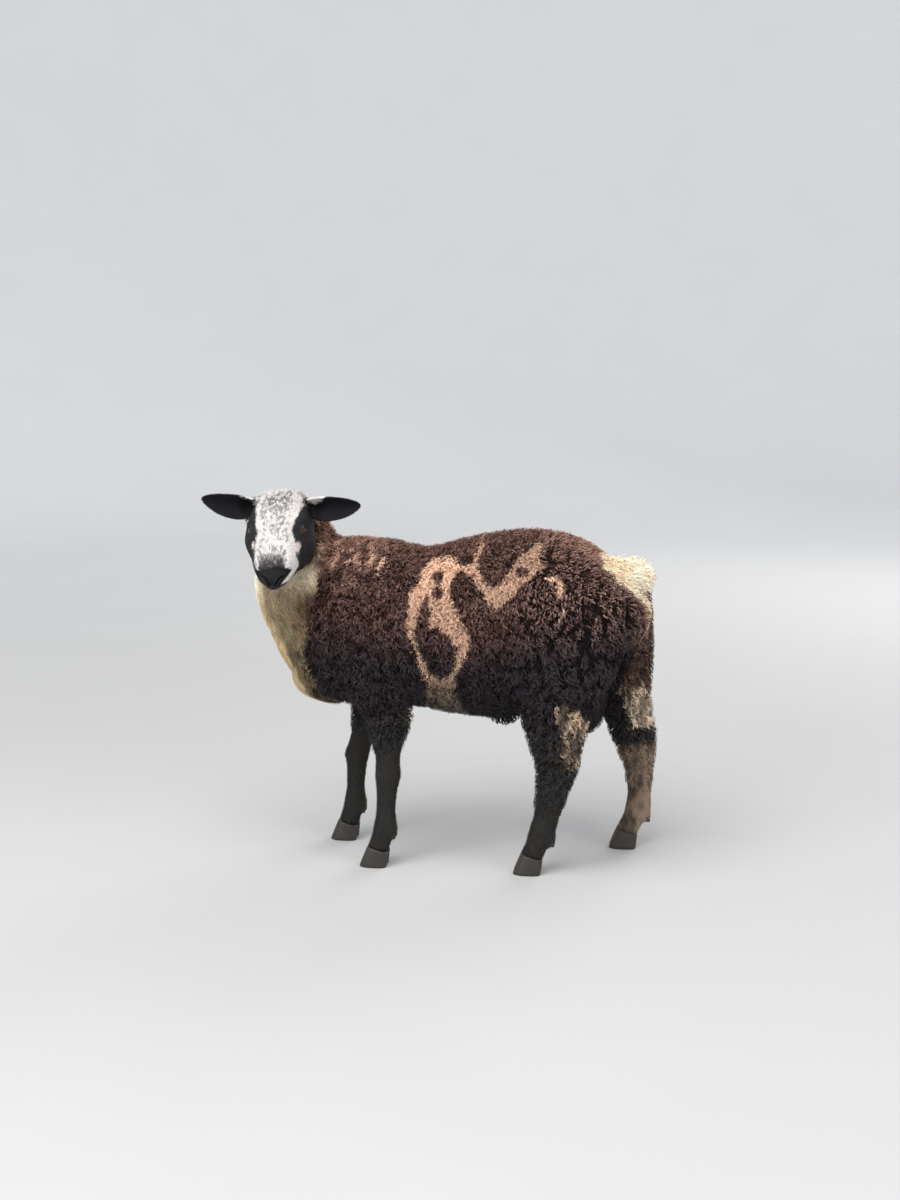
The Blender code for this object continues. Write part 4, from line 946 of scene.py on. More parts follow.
def body_colours(points, fray):
    """Brown fleece: rusty on the back, near black low down, with pale map-like patches.

    The dark low down is partly the wool's own colour and partly painted shade from the light above; painted
    rim light lies along the top of the rump, painted shadow under the belly, and the pale patches are painted
    lighter high up. The pale outlines of the left flank are used again on the right, turned end for end.
    """
    x, y, z = points.T
    fade = z + 0.020 * grain(points, 0.09, 21) + 0.012 * grain(points, 0.03, 22) + fray * 0.4
    rump = soft_step(0.10, 0.24, x) * 0.055
    colour = np.tile(WOOL_BROWN, (len(points), 1))
    # Near black low down: partly the wool's own dark, partly painted shade from the light above
    colour = mixed(colour, WOOL_LOW_AND_SHADE, soft_step(0.510, 0.380, fade - rump))
    colour = mixed(colour, WOOL_RUST, soft_step(0.555, 0.628, fade + 0.012 * grain(points, 0.02, 23)) * 0.55)
    colour = mixed(colour, WOOL_RUST, soft_step(-0.200, -0.245, x) * soft_step(0.52, 0.58, z) * 0.8)
    # Pale rusty streaks at the withers: partly the wool's own colour and partly painted highlight
    streaks = soft_step(-0.10, 0.45, drawn_grain(points, 0.32, 0.0088, 25))
    withers = bell(x + 0.200, 0.070) * soft_step(0.535, 0.590, z + 0.03 * grain(points, 0.025, 24))
    withers = withers * (0.12 + 1.15 * streaks)
    # Painted rim light along the top of the rump, near the spine
    rim_light = soft_step(0.15, 0.27, x) * soft_step(0.575, 0.625, z + 0.25 * np.clip(x - 0.2, 0, 1))
    rim_light = rim_light * soft_step(0.2, -0.2, np.abs(y) / 0.09 - 0.7)
    colour = mixed(colour, WOOL_PALE_RUST_AND_RIM_LIGHT, np.clip(0.95 * withers + 0.34 * rim_light, 0, 1))
    # Painted shadow under the belly
    shade = soft_step(0.400, 0.330, z) * soft_step(-0.03, 0.03, x) * soft_step(0.20, 0.14, x)
    colour = colour * (1 - 0.30 * shade)[:, None]
    along = np.where(y < 0, x, 0.085 - (x - 0.010) * 1.05)
    height = np.where(y < 0, z, z + 0.012)
    gap = outline_gap(along, height, FLANK_PATCH) + fray
    pale = soft_step(0.0018, -0.0018, gap)
    island = outline_gap(along, height, FLANK_ISLAND) + fray
    pale *= soft_step(-0.0015, 0.0015, island)
    pale *= 1 - in_spots(along, height, DARK_SPOTS, fray * 40)
    pale *= 1 - soft_step(0.585, 0.600, z) * (y > 0)
    mottle = soft_step(0.0, 0.45, drawn_grain(points, 0.5, 0.010, 26))
    pale *= 1 - 0.65 * soft_step(0.380, 0.345, z) * mottle
    flecks = in_spots(along, height, PALE_FLECKS, fray * 70)
    pale = np.maximum(pale, flecks)
    # Pale patches painted lighter high and forward, as painted light from above; the rump's flecks paler
    top_light_and_flecks = 1 + 0.50 * soft_step(0.50, 0.57, z) * soft_step(0.070, 0.020, x) + 0.55 * flecks * (x > 0.1)
    tan = mixed(np.tile(WOOL_TAN, (len(points), 1)) * top_light_and_flecks[:, None], WOOL_DULL, soft_step(0.44, 0.31, z))
    colour = mixed(colour, tan, pale)
    belly = soft_step(0.318, 0.306, z) * soft_step(-0.085, -0.060, x) * soft_step(0.055, 0.030, x)
    colour = mixed(colour, WOOL_DULL, belly * 0.8)
    return colour


def above_leg(points):
    """0 on the forelegs, which stay black under the cream breast, 1 elsewhere."""
    return 1 - soft_step(0.036, 0.052, np.abs(points[:, 1])) * soft_step(0.340, 0.320, points[:, 2])


def throat_colours(points, colour, fray):
    """Cream over the throat and breast, in front of an edge read from a table.

    It is painted lightest along the front of the neck and under the cheek, as painted light; it is darker low
    down and browner towards its edge.
    """
    x, y, z = points.T
    edge = table_at(z, THROAT_EDGE)
    fringe = 0.010 * drawn_grain(points, 0.5, 0.018, 34)
    fringe = fringe + 0.028 * grain(points, 0.055, 35) * soft_step(0.0, 0.05, y)
    fringe = fringe + 0.013 * drawn_grain(points, 0.35, 0.0085, 36)
    cream = soft_step(0.006, -0.006, x - edge + fray * 1.5 + fringe) * above_leg(points)
    s, side, height = head_frame(points)
    under_jaw = soft_step(0.050, 0.036, np.abs(side)) * soft_step(0.000, 0.030, s)
    under_jaw = under_jaw * soft_step(-0.03, -0.05, height)
    side_top = np.where(y < -0.02, 0.575, 0.590) + fringe
    cream = np.maximum(cream * soft_step(0.010, -0.010, z - side_top + fray), under_jaw * (s < 0.15))
    behind = soft_step(1.60, 1.35, on_head(points)) * soft_step(0.085, 0.060, s)
    behind = behind * soft_step(-0.010, -0.030, height)
    cream = np.maximum(cream, 0.85 * behind * soft_step(-0.35, 0.35, drawn_grain(points, 0.3, 0.008, 37)))
    pale = mixed(np.tile(WOOL_THROAT, (len(points), 1)), WOOL_THROAT_LOW, soft_step(0.56, 0.46, z))
    streaks = drawn_grain(points, 0.16, 0.016, 32) + 0.5 * drawn_grain(points, 0.2, 0.006, 33)
    near_edge = soft_step(-0.050, -0.008, x - edge)
    # Painted light along the front of the neck and in a band under the cheek, and a painted pool of light on
    # its upper front
    front = soft_step(-0.010, 0.008, table_at(z, THROAT_FRONT) - x + 0.006 * streaks)
    front = front + 0.8 * soft_step(0.050, 0.020, np.abs(z - 0.572)) * soft_step(-0.110, -0.060, x - edge)
    front = np.clip(front, 0, 1)
    pale = pale * np.maximum(1.02 + 1.00 * front + 0.50 * streaks, 0.2)[:, None]
    light = front * soft_step(0.480, 0.530, z)
    pale = pale * (1 + light[:, None] * np.array([0.35, 0.42, 0.70]))
    # Browner streaks towards the edge, fewer where the front is painted light
    pale = mixed(pale, np.array(WOOL_THROAT) * np.array([0.36, 0.28, 0.23]),
                 soft_step(0.0, 0.8, streaks + 0.8 * near_edge - 0.25 - 0.9 * front) * 0.90)
    return mixed(colour, pale, cream)


def tail_share(points, fray, back=0.0):
    """1 on the cream of the tail: behind its slanting edge and within an ellipse seen from behind."""
    x, y, z = points.T
    within = np.hypot(y / 0.062, (z - 0.548) / 0.051)
    behind = soft_step(-0.005, 0.005, x - back - table_at(z, TAIL_EDGE) - fray * 1.5)
    return behind * soft_step(1.04, 0.96, within + fray * 12)


def tail_colours(points, colour, fray):
    """Cream tail with a whiter tip, and a cream strip with brown streaks under it."""
    x, y, z = points.T
    wide = np.abs(y)
    cream = tail_share(points, fray)
    warm = mixed(np.tile(WOOL_CREAM, (len(points), 1)), WOOL_WHITE,
                 soft_step(0.310, 0.375, x + 0.030 * grain(points, 0.022, 38)))
    colour = mixed(colour, warm, cream)
    stripes = drawn_grain(points, 0.12, 0.009, 31)
    streak = soft_step(-0.010, 0.014, x - table_at(y, STREAK_EDGE) + 0.012 * stripes)
    streak = streak * soft_step(0.29, 0.34, z)
    streak = streak * (z < 0.52) * (1 - cream)
    colour = mixed(colour, WOOL_STREAK, streak * (0.20 + 0.75 * soft_step(-0.3, 0.4, stripes)))
    strip = soft_step(0.330, 0.344, x + fray) * soft_step(0.040, 0.026, wide + fray)
    strip = strip * soft_step(0.400, 0.480, z)
    colour = mixed(colour, WOOL_CREAM, strip * (z < 0.520) * soft_step(-0.5, 0.2, stripes + 8 * (z - 0.47)))
    lower = soft_step(0.338, 0.352, x + fray) * soft_step(0.36, 0.40, z) * (z < 0.50) * (y > -0.03)
    return mixed(colour, WOOL_TAN, lower * soft_step(0.10, 0.45, stripes) * 0.45)


def leg_colours(points, colour, fray):
    """Black legs, with fawn hair above the hocks and a mottled far cannon, the far leg's fawn and brown
    painted paler as painted light where the body shades it.
    """
    x, y, z = points.T
    colour = mixed(colour, LEG_BLACK, soft_step(0.31, 0.25, z + fray))
    ragged = fray + 0.006 * drawn_grain(points, 0.35, 0.012, 41)
    spots = soft_step(-0.22, 0.30, drawn_grain(points, 0.4, 0.0075, 42))
    fawn = soft_step(0.006, -0.006, outline_gap(x, z, HOCK_NEAR) + 2 * ragged) * (y < -0.045) * (x > 0.15)
    colour = mixed(colour, HAIR_FAWN, fawn * (0.15 + 0.85 * spots))
    torn = 2 * ragged + 0.020 * drawn_grain(points, 0.30, 0.017, 44)
    # The far hock's fawn is painted paler as painted light where the body shades it
    fawn = soft_step(0.006, -0.006, outline_gap(x, z, HOCK_FAR) + torn) * (y > 0.045) * (x > 0.15)
    fawn = fawn * soft_step(0.125, 0.100, y + 0.02 * grain(points, 0.030, 45))
    colour = mixed(colour, HAIR_FAWN_FAR_LIT, fawn * (0.30 + 0.70 * spots))
    # The far cannon's mottled brown is painted paler as painted light where the body shades it
    cannon = soft_step(0.222, 0.205, z + ragged) * ((y > 0) & (x > 0.2))
    mottle = soft_step(-0.15, 0.45, drawn_grain(points, 0.5, 0.011, 43) + 0.25)
    mottle = np.clip(0.30 + 0.60 * mottle + 0.25 * drawn_grain(points, 0.5, 0.0045, 46), 0, 1)
    colour = mixed(colour, HAIR_FAR_BROWN_LIT, cannon * mottle)
    strip = cannon * soft_step(0.004, 0.012, x - table_at(z, CANNON_STRIP))
    return mixed(colour, np.array(HAIR_FAWN) * 0.6, strip * 0.6 * mottle)


def head_colours(points, colour, fray):
    """Black cheeks, ears and muzzle round a white face that is flecked with grey."""
    s, side, height = head_frame(points)
    half = np.where(side > 0, table_at(s, BLAZE_LEFT), table_at(s, BLAZE_RIGHT))
    front_edge = np.where(side > 0, 0.146 + 0.10 * np.clip(height - 0.01, -1, 0), 0.40)
    white = soft_step(0.0012, -0.0012, np.abs(side) - half + fray)
    white *= soft_step(-0.015, -0.005, height + 0.2 * (s - 0.1))
    white = np.maximum(white, soft_step(-0.002, 0.002, s - front_edge + fray))
    shown = mixed(np.tile(HAIR_BLACK, (len(points), 1)), HAIR_WHITE, white)
    drawn = points - MUZZLE_WAY * (s * 0.45)[:, None]
    bridge = soft_step(0.040, 0.060, s)
    fine = (1 - bridge) * (grain(drawn, 0.0036, 51) + 0.65 * grain(drawn, 0.0019, 52))
    fine = fine + bridge * (grain(drawn, 0.0025, 58) + 0.75 * grain(drawn, 0.0015, 59))
    amount = table_at(s, FLECKED) - 0.9 * soft_step(0.018, 0.038, np.abs(side + 0.003))
    spots = soft_step(0.22, 0.56, fine + amount)
    tone = np.array(HAIR_GREY) * (0.78 + 0.4 * grain(points, 0.006, 56) + 0.9 * bridge)[:, None]
    shown = mixed(shown, tone, spots * white * 0.86)
    ragged = 0.004 * grain(points, 0.006, 53)
    grey = soft_step(0.150, 0.160, s + ragged) * (height > 0) * white
    grey *= soft_step(0.0255, 0.0205, np.abs(side + 0.0025) + 0.5 * ragged)
    mottle = soft_step(-0.40, 0.35, grain(drawn, 0.0030, 54) + 0.6 * grain(drawn, 0.0016, 57))
    deep = soft_step(0.160, 0.184, s + 0.30 * np.abs(side + 0.0025) + ragged)
    tone = mixed(np.tile(np.array(HAIR_GREY) * 0.75, (len(points), 1)), HAIR_BLACK, deep)
    shown = mixed(shown, tone, grey * np.clip(0.34 + 0.46 * mottle + 0.60 * deep, 0, 0.97))
    for at, sign, wide in PINK_PATCHES:
        away = np.linalg.norm(points - face_point(at, sign), axis=1) / wide + fray * 90
        shown = mixed(shown, HAIR_PINK, soft_step(1.2, 0.7, away + 0.40 * grain(points, 0.005, 55)))
    begin = np.where(side > 0, table_at(height, MUZZLE_LEFT), table_at(height, MUZZLE_RIGHT))
    muzzle = soft_step(-0.002, 0.002, s - begin + fray)
    shown = mixed(shown, NOSE_SKIN, muzzle * (s < 0.25))
    shown = mixed(shown, HAIR_BLACK, soft_step(-0.018, -0.024, height) * soft_step(0.165, 0.172, s))
    lips = soft_step(0.0080, 0.0062, on_mouth(points) + fray) * soft_step(0.138, 0.145, s)
    shown = mixed(shown, HAIR_BLACK, lips)
    colour = mixed(colour, HAIR_WHITE, poll_share(points))
    colour = mixed(colour, shown, face_share(points))
    dark = np.tile(EAR_BLACK, (len(points), 1))
    for name in SIDE_SIGN:
        root, along, _, wide = ear_frame(name)
        away = points - root
        up = away @ wide * (1 if wide[2] > 0 else -1)
        share = (away @ along) / EAR_LENGTH
        up = up + 0.020 * share * (1 - share) - EAR_LIFT[name] * share**2
        top = soft_step(-0.0015, 0.0015, up - table_at(share, EAR_WHITE[name]) + fray)
        # The white at the ear's root is painted paler than the face's white: painted light on the ear's
        # opening, which faces away from the light
        dark = mixed(dark, np.array(HAIR_WHITE) * 1.25, top * (share > -0.2) * (share < 0.6))
    return mixed(colour, dark, soft_step(0.07, 0.11, ear_share(points)))


def coat_colours(points, fray=None):
    """Colour of the coat at each point of the lamb, the same for skin, wool and hair."""
    if fray is None:
        fray = np.zeros(len(points))
    fray = fray + 0.0022 * grain(points, 0.007, 61)
    colour = body_colours(points, fray)
    colour = throat_colours(points, colour, fray)
    colour = tail_colours(points, colour, fray)
    colour = leg_colours(points, colour, fray)
    return head_colours(points, colour, fray)


def paint(mesh, colours):
    """Stores a colour for each point as the attribute that the materials read."""
    layer = mesh.color_attributes.new("coat", "FLOAT_COLOR", "POINT")
    full = np.concatenate([colours, np.ones((len(colours), 1))], 1).astype(np.float32)
    layer.data.foreach_set("color", full.ravel())


def smooth_piece(name, points, faces, material):
    """A smooth object of one material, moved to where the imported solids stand."""
    mesh = mesh_of(name, points + PLACE, faces)
    mesh.shade_smooth()
    mesh.materials.append(material)
    return object_of(name, mesh)


class Ground:
    """Triangles of the skin, with their areas, normals and unwrap, to root the coat on."""

    def __init__(self, points, faces, uv):
        self.points, self.faces, self.uv = points, faces, uv
        a, b, c = (points[faces[:, k]] for k in range(3))
        self.area = np.linalg.norm(np.cross(b - a, c - a), axis=1) / 2
        self.normals = point_normals(points, faces)

    def scatter(self, count, share, draw):
        """Random places, as many to each area as share says: places, normals and unwrap."""
        centre = self.points[self.faces].mean(axis=1)
        weight = self.area * np.clip(share(centre), 0, None)
        chosen = draw.choice(len(weight), count, p=weight / weight.sum())
        a, b = draw.random(count), draw.random(count)
        over = a + b > 1
        a[over], b[over] = 1 - a[over], 1 - b[over]
        w = np.stack([1 - a - b, a, b], 1)[:, :, None]
        tri = self.faces[chosen]
        places, normals = (self.points[tri] * w).sum(1), unit((self.normals[tri] * w).sum(1))
        return places, normals, (self.uv[chosen] * w).sum(1)


def spaced(places, room):
    """Indices of places that keep at least their own room to every place kept before them."""
    tree = KDTree(len(places))
    for k, place in enumerate(places):
        tree.insert(place, k)
    tree.balance()
    free = np.ones(len(places), bool)
    kept = []
    for k in range(len(places)):
        if free[k]:
            kept.append(k)
            for _, other, _ in tree.find_range(places[k], room[k]):
                free[other] = False
    return np.array(kept)


def lock_template(rings, sides):
    """Triangles of one lock and the place of each corner across and along its patch."""
    faces, patch = [], []
    for k in range(rings - 1):
        for j in range(sides):
            n = (j + 1) % sides
            a, b, c, d = k * sides + j, k * sides + n, (k + 1) * sides + n, (k + 1) * sides + j
            left, right = j / sides - 0.5, (j + 1) / sides - 0.5
            low, high = k / rings - 0.5, (k + 1) / rings - 0.5
            faces += [(a, b, c), (a, c, d)]
            patch += [(left, low), (right, low), (right, high), (left, low), (right, high), (left, high)]
    last = (rings - 1) * sides
    for j in range(sides):
        faces.append((last + j, last + (j + 1) % sides, rings * sides))
        low = (rings - 1) / rings - 0.5
        patch += [(j / sides - 0.5, low), ((j + 1) / sides - 0.5, low), ((j + 0.5) / sides - 0.5, 0.5)]
    return np.array(faces), np.array(patch)


def root_to_tip(colours, depth):
    """Colour of each point of many tufts, from that of the root at depth 0 to that of the tip at 1."""
    root, top = colours
    depth = np.asarray(depth)[:, None]
    return root[:, None] * (1 - depth) + top[:, None] * depth


def curled_locks(places, normals, lies, tall, run, thick, bend, curl, colours, draw):
    """Points and colours of many locks.

    The middle line of a lock arches over along its lie: tall times the sine and run times 1 minus
    the cosine of an angle that grows from 0 to bend. A sine of its length swings it sideways by
    curl. Rings stand square to that line and narrow to a blunt tip.
    """
    count = len(places)
    rings = len(LOCK_RADII)
    cross = np.cross(normals, lies)
    angle = bend[:, None] * LOCK_STEPS
    phase = draw.random(count) * 2 * math.pi
    swing = curl[:, None] * (np.sin(phase[:, None] + LOCK_STEPS * 6.5) - np.sin(phase)[:, None])
    middle = (places[:, None] - normals[:, None] * LOCK_SUNK
              + normals[:, None] * (tall[:, None] * np.sin(angle))[..., None]
              + lies[:, None] * (run[:, None] * (1 - np.cos(angle)))[..., None]
              + cross[:, None] * swing[..., None])
    rise, ahead = tall[:, None] * np.cos(angle), run[:, None] * np.sin(angle)
    size = np.hypot(rise, ahead)
    rise, ahead = (rise / size)[..., None], (ahead / size)[..., None]
    square = lies[:, None] * rise - normals[:, None] * ahead
    round_at = ring_angles(LOCK_SIDES)[None, None] + draw.random(count)[:, None, None] * 2 * math.pi
    wide = thick[:, None] * LOCK_RADII * (1 + 0.24 * (draw.random((count, rings)) - 0.5))
    ring = (square[:, :rings, None] * np.cos(round_at)[..., None]
            + cross[:, None, None] * np.sin(round_at)[..., None]) * wide[..., None, None]
    points = np.concatenate([(middle[:, :rings, None] + ring).reshape(count, -1, 3), middle[:, rings:]], 1)
    return points, root_to_tip(colours, [*np.repeat(LOCK_SHADE[:rings], LOCK_SIDES), *LOCK_SHADE[rings:]])


def ribbon_template(steps):
    """Triangles of one ribbon of that many steps that ends in a point, and their patch corners."""
    faces, patch = [], []
    for k in range(steps - 2):
        a = 2 * k
        low, high = k / (steps - 1) - 0.5, (k + 1) / (steps - 1) - 0.5
        faces += [(a, a + 1, a + 3), (a, a + 3, a + 2)]
        patch += [(-0.5, low), (0.5, low), (0.5, high), (-0.5, low), (0.5, high), (-0.5, high)]
    a = 2 * (steps - 2)
    low = (steps - 2) / (steps - 1) - 0.5
    faces.append((a, a + 1, a + 2))
    patch += [(-0.5, low), (0.5, low), (0.0, 0.5)]
    return np.array(faces), np.array(patch)


def flat_blades(places, normals, lies, long, wide, lift, colours):
    """Points and colours of many flat blades of hair.

    Each has a base sunk in the skin, a middle raised by most of lift and a pointed tip raised by lift.
    """
    cross = np.cross(normals, lies)
    low = places - normals * 0.0006
    middle = places + lies * (long * 0.5)[:, None] + normals * (lift * 0.8)[:, None]
    tip = places + lies * long[:, None] + normals * lift[:, None]
    half = cross * (wide / 2)[:, None]
    points = np.stack([low - half, low + half, middle - half * 0.8, middle + half * 0.8, tip], 1)
    return points, root_to_tip(colours, [0.0, 0.0, 0.6, 0.6, 1.0])


def wavy_strands(places, normals, lies, long, wide, lift, wave, turns, colours, draw):
    """Points and colours of many thin crimped ribbons that lie over the wool.

    The middle line runs along the lie, swung sideways by wave times a sine of its length and raised
    by lift times half a sine; the ribbon is rolled by a random angle and narrows to a point.
    """
    count = len(places)
    cross = np.cross(normals, lies)
    t = np.linspace(0, 1, STRAND_STEPS)[None]
    phase = draw.random(count)[:, None] * 2 * math.pi
    sway = np.sin(phase + turns[:, None] * t)
    level = np.cos(phase + turns[:, None] * t)
    rise = lift[:, None] * np.sin(t * 2.4) + 0.45 * wave[:, None] * level
    middle = (places[:, None] + lies[:, None] * (long[:, None] * t)[..., None]
              + cross[:, None] * (wave[:, None] * sway)[..., None] + normals[:, None] * rise[..., None])
    roll = draw.normal(0, 0.7, count)[:, None, None]
    across = cross[:, None] * np.cos(roll) + normals[:, None] * np.sin(roll)
    half = across * (wide[:, None] / 2 * (1 - 0.6 * t**2))[..., None]
    pairs = np.stack([middle - half, middle + half], 2)[:, :-1].reshape(count, -1, 3)
    points = np.concatenate([pairs, middle[:, -1:]], 1)
    return points, root_to_tip(colours, [*np.repeat(np.linspace(0, 1, STRAND_STEPS)[:-1], 2), 1.0])


def tuft_piece(name, points, shade, faces, patch, roots_uv, material, slot):
    """One joined mesh of like tufts, each with its own small patch of the skin's unwrap."""
    count, each, _ = points.shape
    all_faces = (faces[None] + (np.arange(count) * each)[:, None, None]).reshape(-1, 3)
    obj = smooth_piece(name, points.reshape(-1, 3), all_faces, material)
    paint(obj.data, np.clip(shade.reshape(-1, 3), 0, 1))
    uv = np.asarray(roots_uv[:, None] + patch[None] * PATCH, np.float32)
    obj.data.uv_layers.new(name="OFBake").data.foreach_set("uv", uv.ravel())
    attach(obj, "root")


def tuft_pieces(name, order, per_piece, points, shade, template, roots_uv, material, slot):
    """Like tufts split, in that order, into numbered pieces of at most so many tufts."""
    for k, part in enumerate(np.array_split(order, math.ceil(len(order) / per_piece))):
        tuft_piece(f"{name}_{k + 1}", points[part], shade[part], *template, roots_uv[part], material, slot)


def shader_of(name):
    """A new node material: its nodes, links and Principled shader."""
    made = bpy.data.materials.new(name)
    made.use_nodes = True
    nodes, links = made.node_tree.nodes, made.node_tree.links
    return made, nodes, links, nodes["Principled BSDF"]


def set_values(node, values):
    """Gives the inputs of a shader node their values by name."""
    for name, value in values.items():
        node.inputs[name].default_value = value
    return node


def node_of(nodes, kind, values):
    """A new shader node with the values of its inputs set by name."""
    return set_values(nodes.new(f"ShaderNode{kind}"), values)


def stored_colour(nodes):
    """The colour painted on the points of the mesh."""
    colour = nodes.new("ShaderNodeAttribute")
    colour.attribute_name = "coat"
    return colour.outputs["Color"]


def pattern_over(nodes, links, kind, values):
    """A noise or wave over the object's own coordinates."""
    place = nodes.new("ShaderNodeTexCoord")
    pattern = node_of(nodes, kind, values)
    links.new(place.outputs["Object"], pattern.inputs["Vector"])
    return pattern


def vary_colour(nodes, links, shader, colour, noise, factors, ends=(0.0, 1.0)):
    """Gives the shader a colour times a factor that the noise moves between two values."""
    spread = node_of(nodes, "MapRange", {"From Min": ends[0], "From Max": ends[1],
                                         "To Min": factors[0], "To Max": factors[1]})
    links.new(noise.outputs["Fac"], spread.inputs["Value"])
    varied = nodes.new("ShaderNodeVectorMath")
    varied.operation = "SCALE"
    links.new(colour, varied.inputs[0])
    links.new(spread.outputs["Result"], varied.inputs["Scale"])
    links.new(varied.outputs["Vector"], shader.inputs["Base Color"])


def add_bump(nodes, links, shader, pattern, strength, distance):
    """Gives the shader a bump from a noise or wave."""
    bump = node_of(nodes, "Bump", {"Strength": strength, "Distance": distance})
    links.new(pattern.outputs["Fac"], bump.inputs["Height"])
    links.new(bump.outputs["Normal"], shader.inputs["Normal"])


def coat_material(name, roughness, sheen, noise_scale, contrast, bump_scale, bump_height, specular):
    """Hair or wool: the stored colour, varied by noise, with a fine bump."""
    made, nodes, links, shader = shader_of(name)
    noise = pattern_over(nodes, links, "TexNoise", {"Scale": noise_scale, "Detail": 3.0})
    factors = (1.0 - contrast, 1.0 + contrast)
    vary_colour(nodes, links, shader, stored_colour(nodes), noise, factors, (0.3, 0.7))
    fine = pattern_over(nodes, links, "TexNoise", {"Scale": bump_scale, "Detail": 2.0})
    add_bump(nodes, links, shader, fine, 0.6, bump_height)
    set_values(shader, {"Roughness": roughness, "Sheen Weight": sheen, "Sheen Roughness": 0.5,
                        "Specular IOR Level": specular})
    return made


def wool_material(name, roughness, sheen):
    """Wool: the stored colour, varied by noise, with fibres running along each lock."""
    made, nodes, links, shader = shader_of(name)
    noise = pattern_over(nodes, links, "TexNoise", {"Scale": 420.0, "Detail": 3.0})
    vary_colour(nodes, links, shader, stored_colour(nodes), noise, (0.78, 1.22), (0.3, 0.7))
    unwrap = nodes.new("ShaderNodeUVMap")
    unwrap.uv_map = "OFBake"
    fibres = node_of(nodes, "TexWave", {"Scale": 520.0, "Distortion": 1.5})
    fibres.bands_direction = "X"
    links.new(unwrap.outputs["UV"], fibres.inputs["Vector"])
    add_bump(nodes, links, shader, fibres, 0.5, 0.0004)
    set_values(shader, {"Roughness": roughness, "Sheen Weight": sheen, "Sheen Roughness": 0.4,
                        "Specular IOR Level": 0.2})
    return made


def eye_material():
    """Wet eye: the stored colour, varied by fine noise, under a smooth clear coat."""
    made, nodes, links, shader = shader_of("wet_eye")
    noise = pattern_over(nodes, links, "TexNoise", {"Scale": 900.0})
    vary_colour(nodes, links, shader, stored_colour(nodes), noise, (0.7, 1.3))
    set_values(shader, {"Roughness": 0.18, "Specular IOR Level": 0.35, "Coat Weight": 0.35,
                        "Coat Roughness": 0.04})
    return made


def horn_material():
    """Hoof horn: dark grey-brown with growth rings, and dirt in it by noise."""
    made, nodes, links, shader = shader_of("hoof_horn")
    rings = pattern_over(nodes, links, "TexWave", {"Scale": 70.0, "Distortion": 3.0, "Detail": 2.0})
    rings.bands_direction = "Z"
    ramp = nodes.new("ShaderNodeValToRGB")
    ramp.color_ramp.elements[0].color = HORN_DARK
    ramp.color_ramp.elements[1].color = HORN_PALE
    links.new(rings.outputs["Fac"], ramp.inputs["Fac"])
    dirt = pattern_over(nodes, links, "TexNoise", {"Scale": 260.0})
    mix = nodes.new("ShaderNodeMix")
    mix.data_type = "RGBA"
    links.new(dirt.outputs["Fac"], mix.inputs["Factor"])
    links.new(ramp.outputs["Color"], mix.inputs["A"])
    mix.inputs["B"].default_value = HORN_DIRT
    links.new(mix.outputs["Result"], shader.inputs["Base Color"])
    add_bump(nodes, links, shader, rings, 1.0, 0.00015)
    shader.inputs["Roughness"].default_value = 0.5
    return made


def make_skin():
    """The one skin of the lamb, painted and unwrapped, and the ground that the coat grows on."""
    points, faces = skin_surface()
    mesh = mesh_of("skin", points + PLACE, faces)
    mesh.shade_smooth()
    obj = object_of("skin", mesh)
    bpy.context.view_layer.objects.active = obj
    obj.select_set(True)
    bpy.ops.object.mode_set(mode="EDIT")
    bpy.ops.mesh.select_all(action="SELECT")
    bpy.ops.uv.smart_project(angle_limit=math.radians(66), island_margin=0.001)
    bpy.ops.object.mode_set(mode="OBJECT")
    mesh.uv_layers[0].name = "OFBake"
    uv = np.empty(len(faces) * 6, np.float32)
    mesh.uv_layers["OFBake"].data.foreach_get("uv", uv)
    colour = coat_colours(points)
    # The skin under the wool is painted darker, less under pale wool: painted shade between the locks
    paint(mesh, colour * (1 - (0.75 - 0.50 * pale_share(colour)) * wool_share(points))[:, None])
    mesh.materials.append(coat_material("skin_hair", 0.66, 0.02, 220.0, 0.16, 900.0, 0.0006, 0.16))
    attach(obj, "root")
    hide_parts("head", "neck", "torso", "tail", "scrotum", "ear_left", "ear_right",
                *[f"{part}_{side}" for part in ("foreleg", "thigh", "shank") for side in SIDE_SIGN])
    return Ground(points, faces, uv.reshape(-1, 3, 2).astype(float))


def turned(lies, normals, turn):
    """Ways in the skin turned about its normal by an angle."""
    return unit(lies * np.cos(turn)[:, None] + np.cross(normals, lies) * np.sin(turn)[:, None])


def curl_rows(points):
    """Rows of curls, from 1 along the crest of a row to -1 in the crevice between two rows.

    Two smooth noises are drawn out down the body and warped. The coarse rows, mostly on the rump,
    are 6.5 times the size of the first less 1.25: broad crests with thin crevices where it passes
    0. The fine rows, on flank and shoulder, are 1 less 2.8 times the size of the second.
    """
    warp = np.stack([grain(points, 0.020, 74), grain(points, 0.020, 75), grain(points, 0.020, 76)], 1) * 0.006
    at = points + warp
    coarse = np.clip(6.5 * np.abs(drawn_grain(at, 0.32, 0.0098, 71)) - 1.25, -1.0, 1.0)
    fine = 1 - 2.8 * np.abs(drawn_grain(at, 0.70, 0.0060, 72))
    rump = rump_share(points, 0.30, 0.42)
    return np.clip(coarse * (0.40 + 0.65 * rump) + fine * (0.60 - 0.50 * rump), -1.0, 1.0)


def pale_share(colour):
    """1 where a colour is one of the pale ones, 0 where it is brown or black."""
    return soft_step(0.12, 0.35, colour[:, 0])


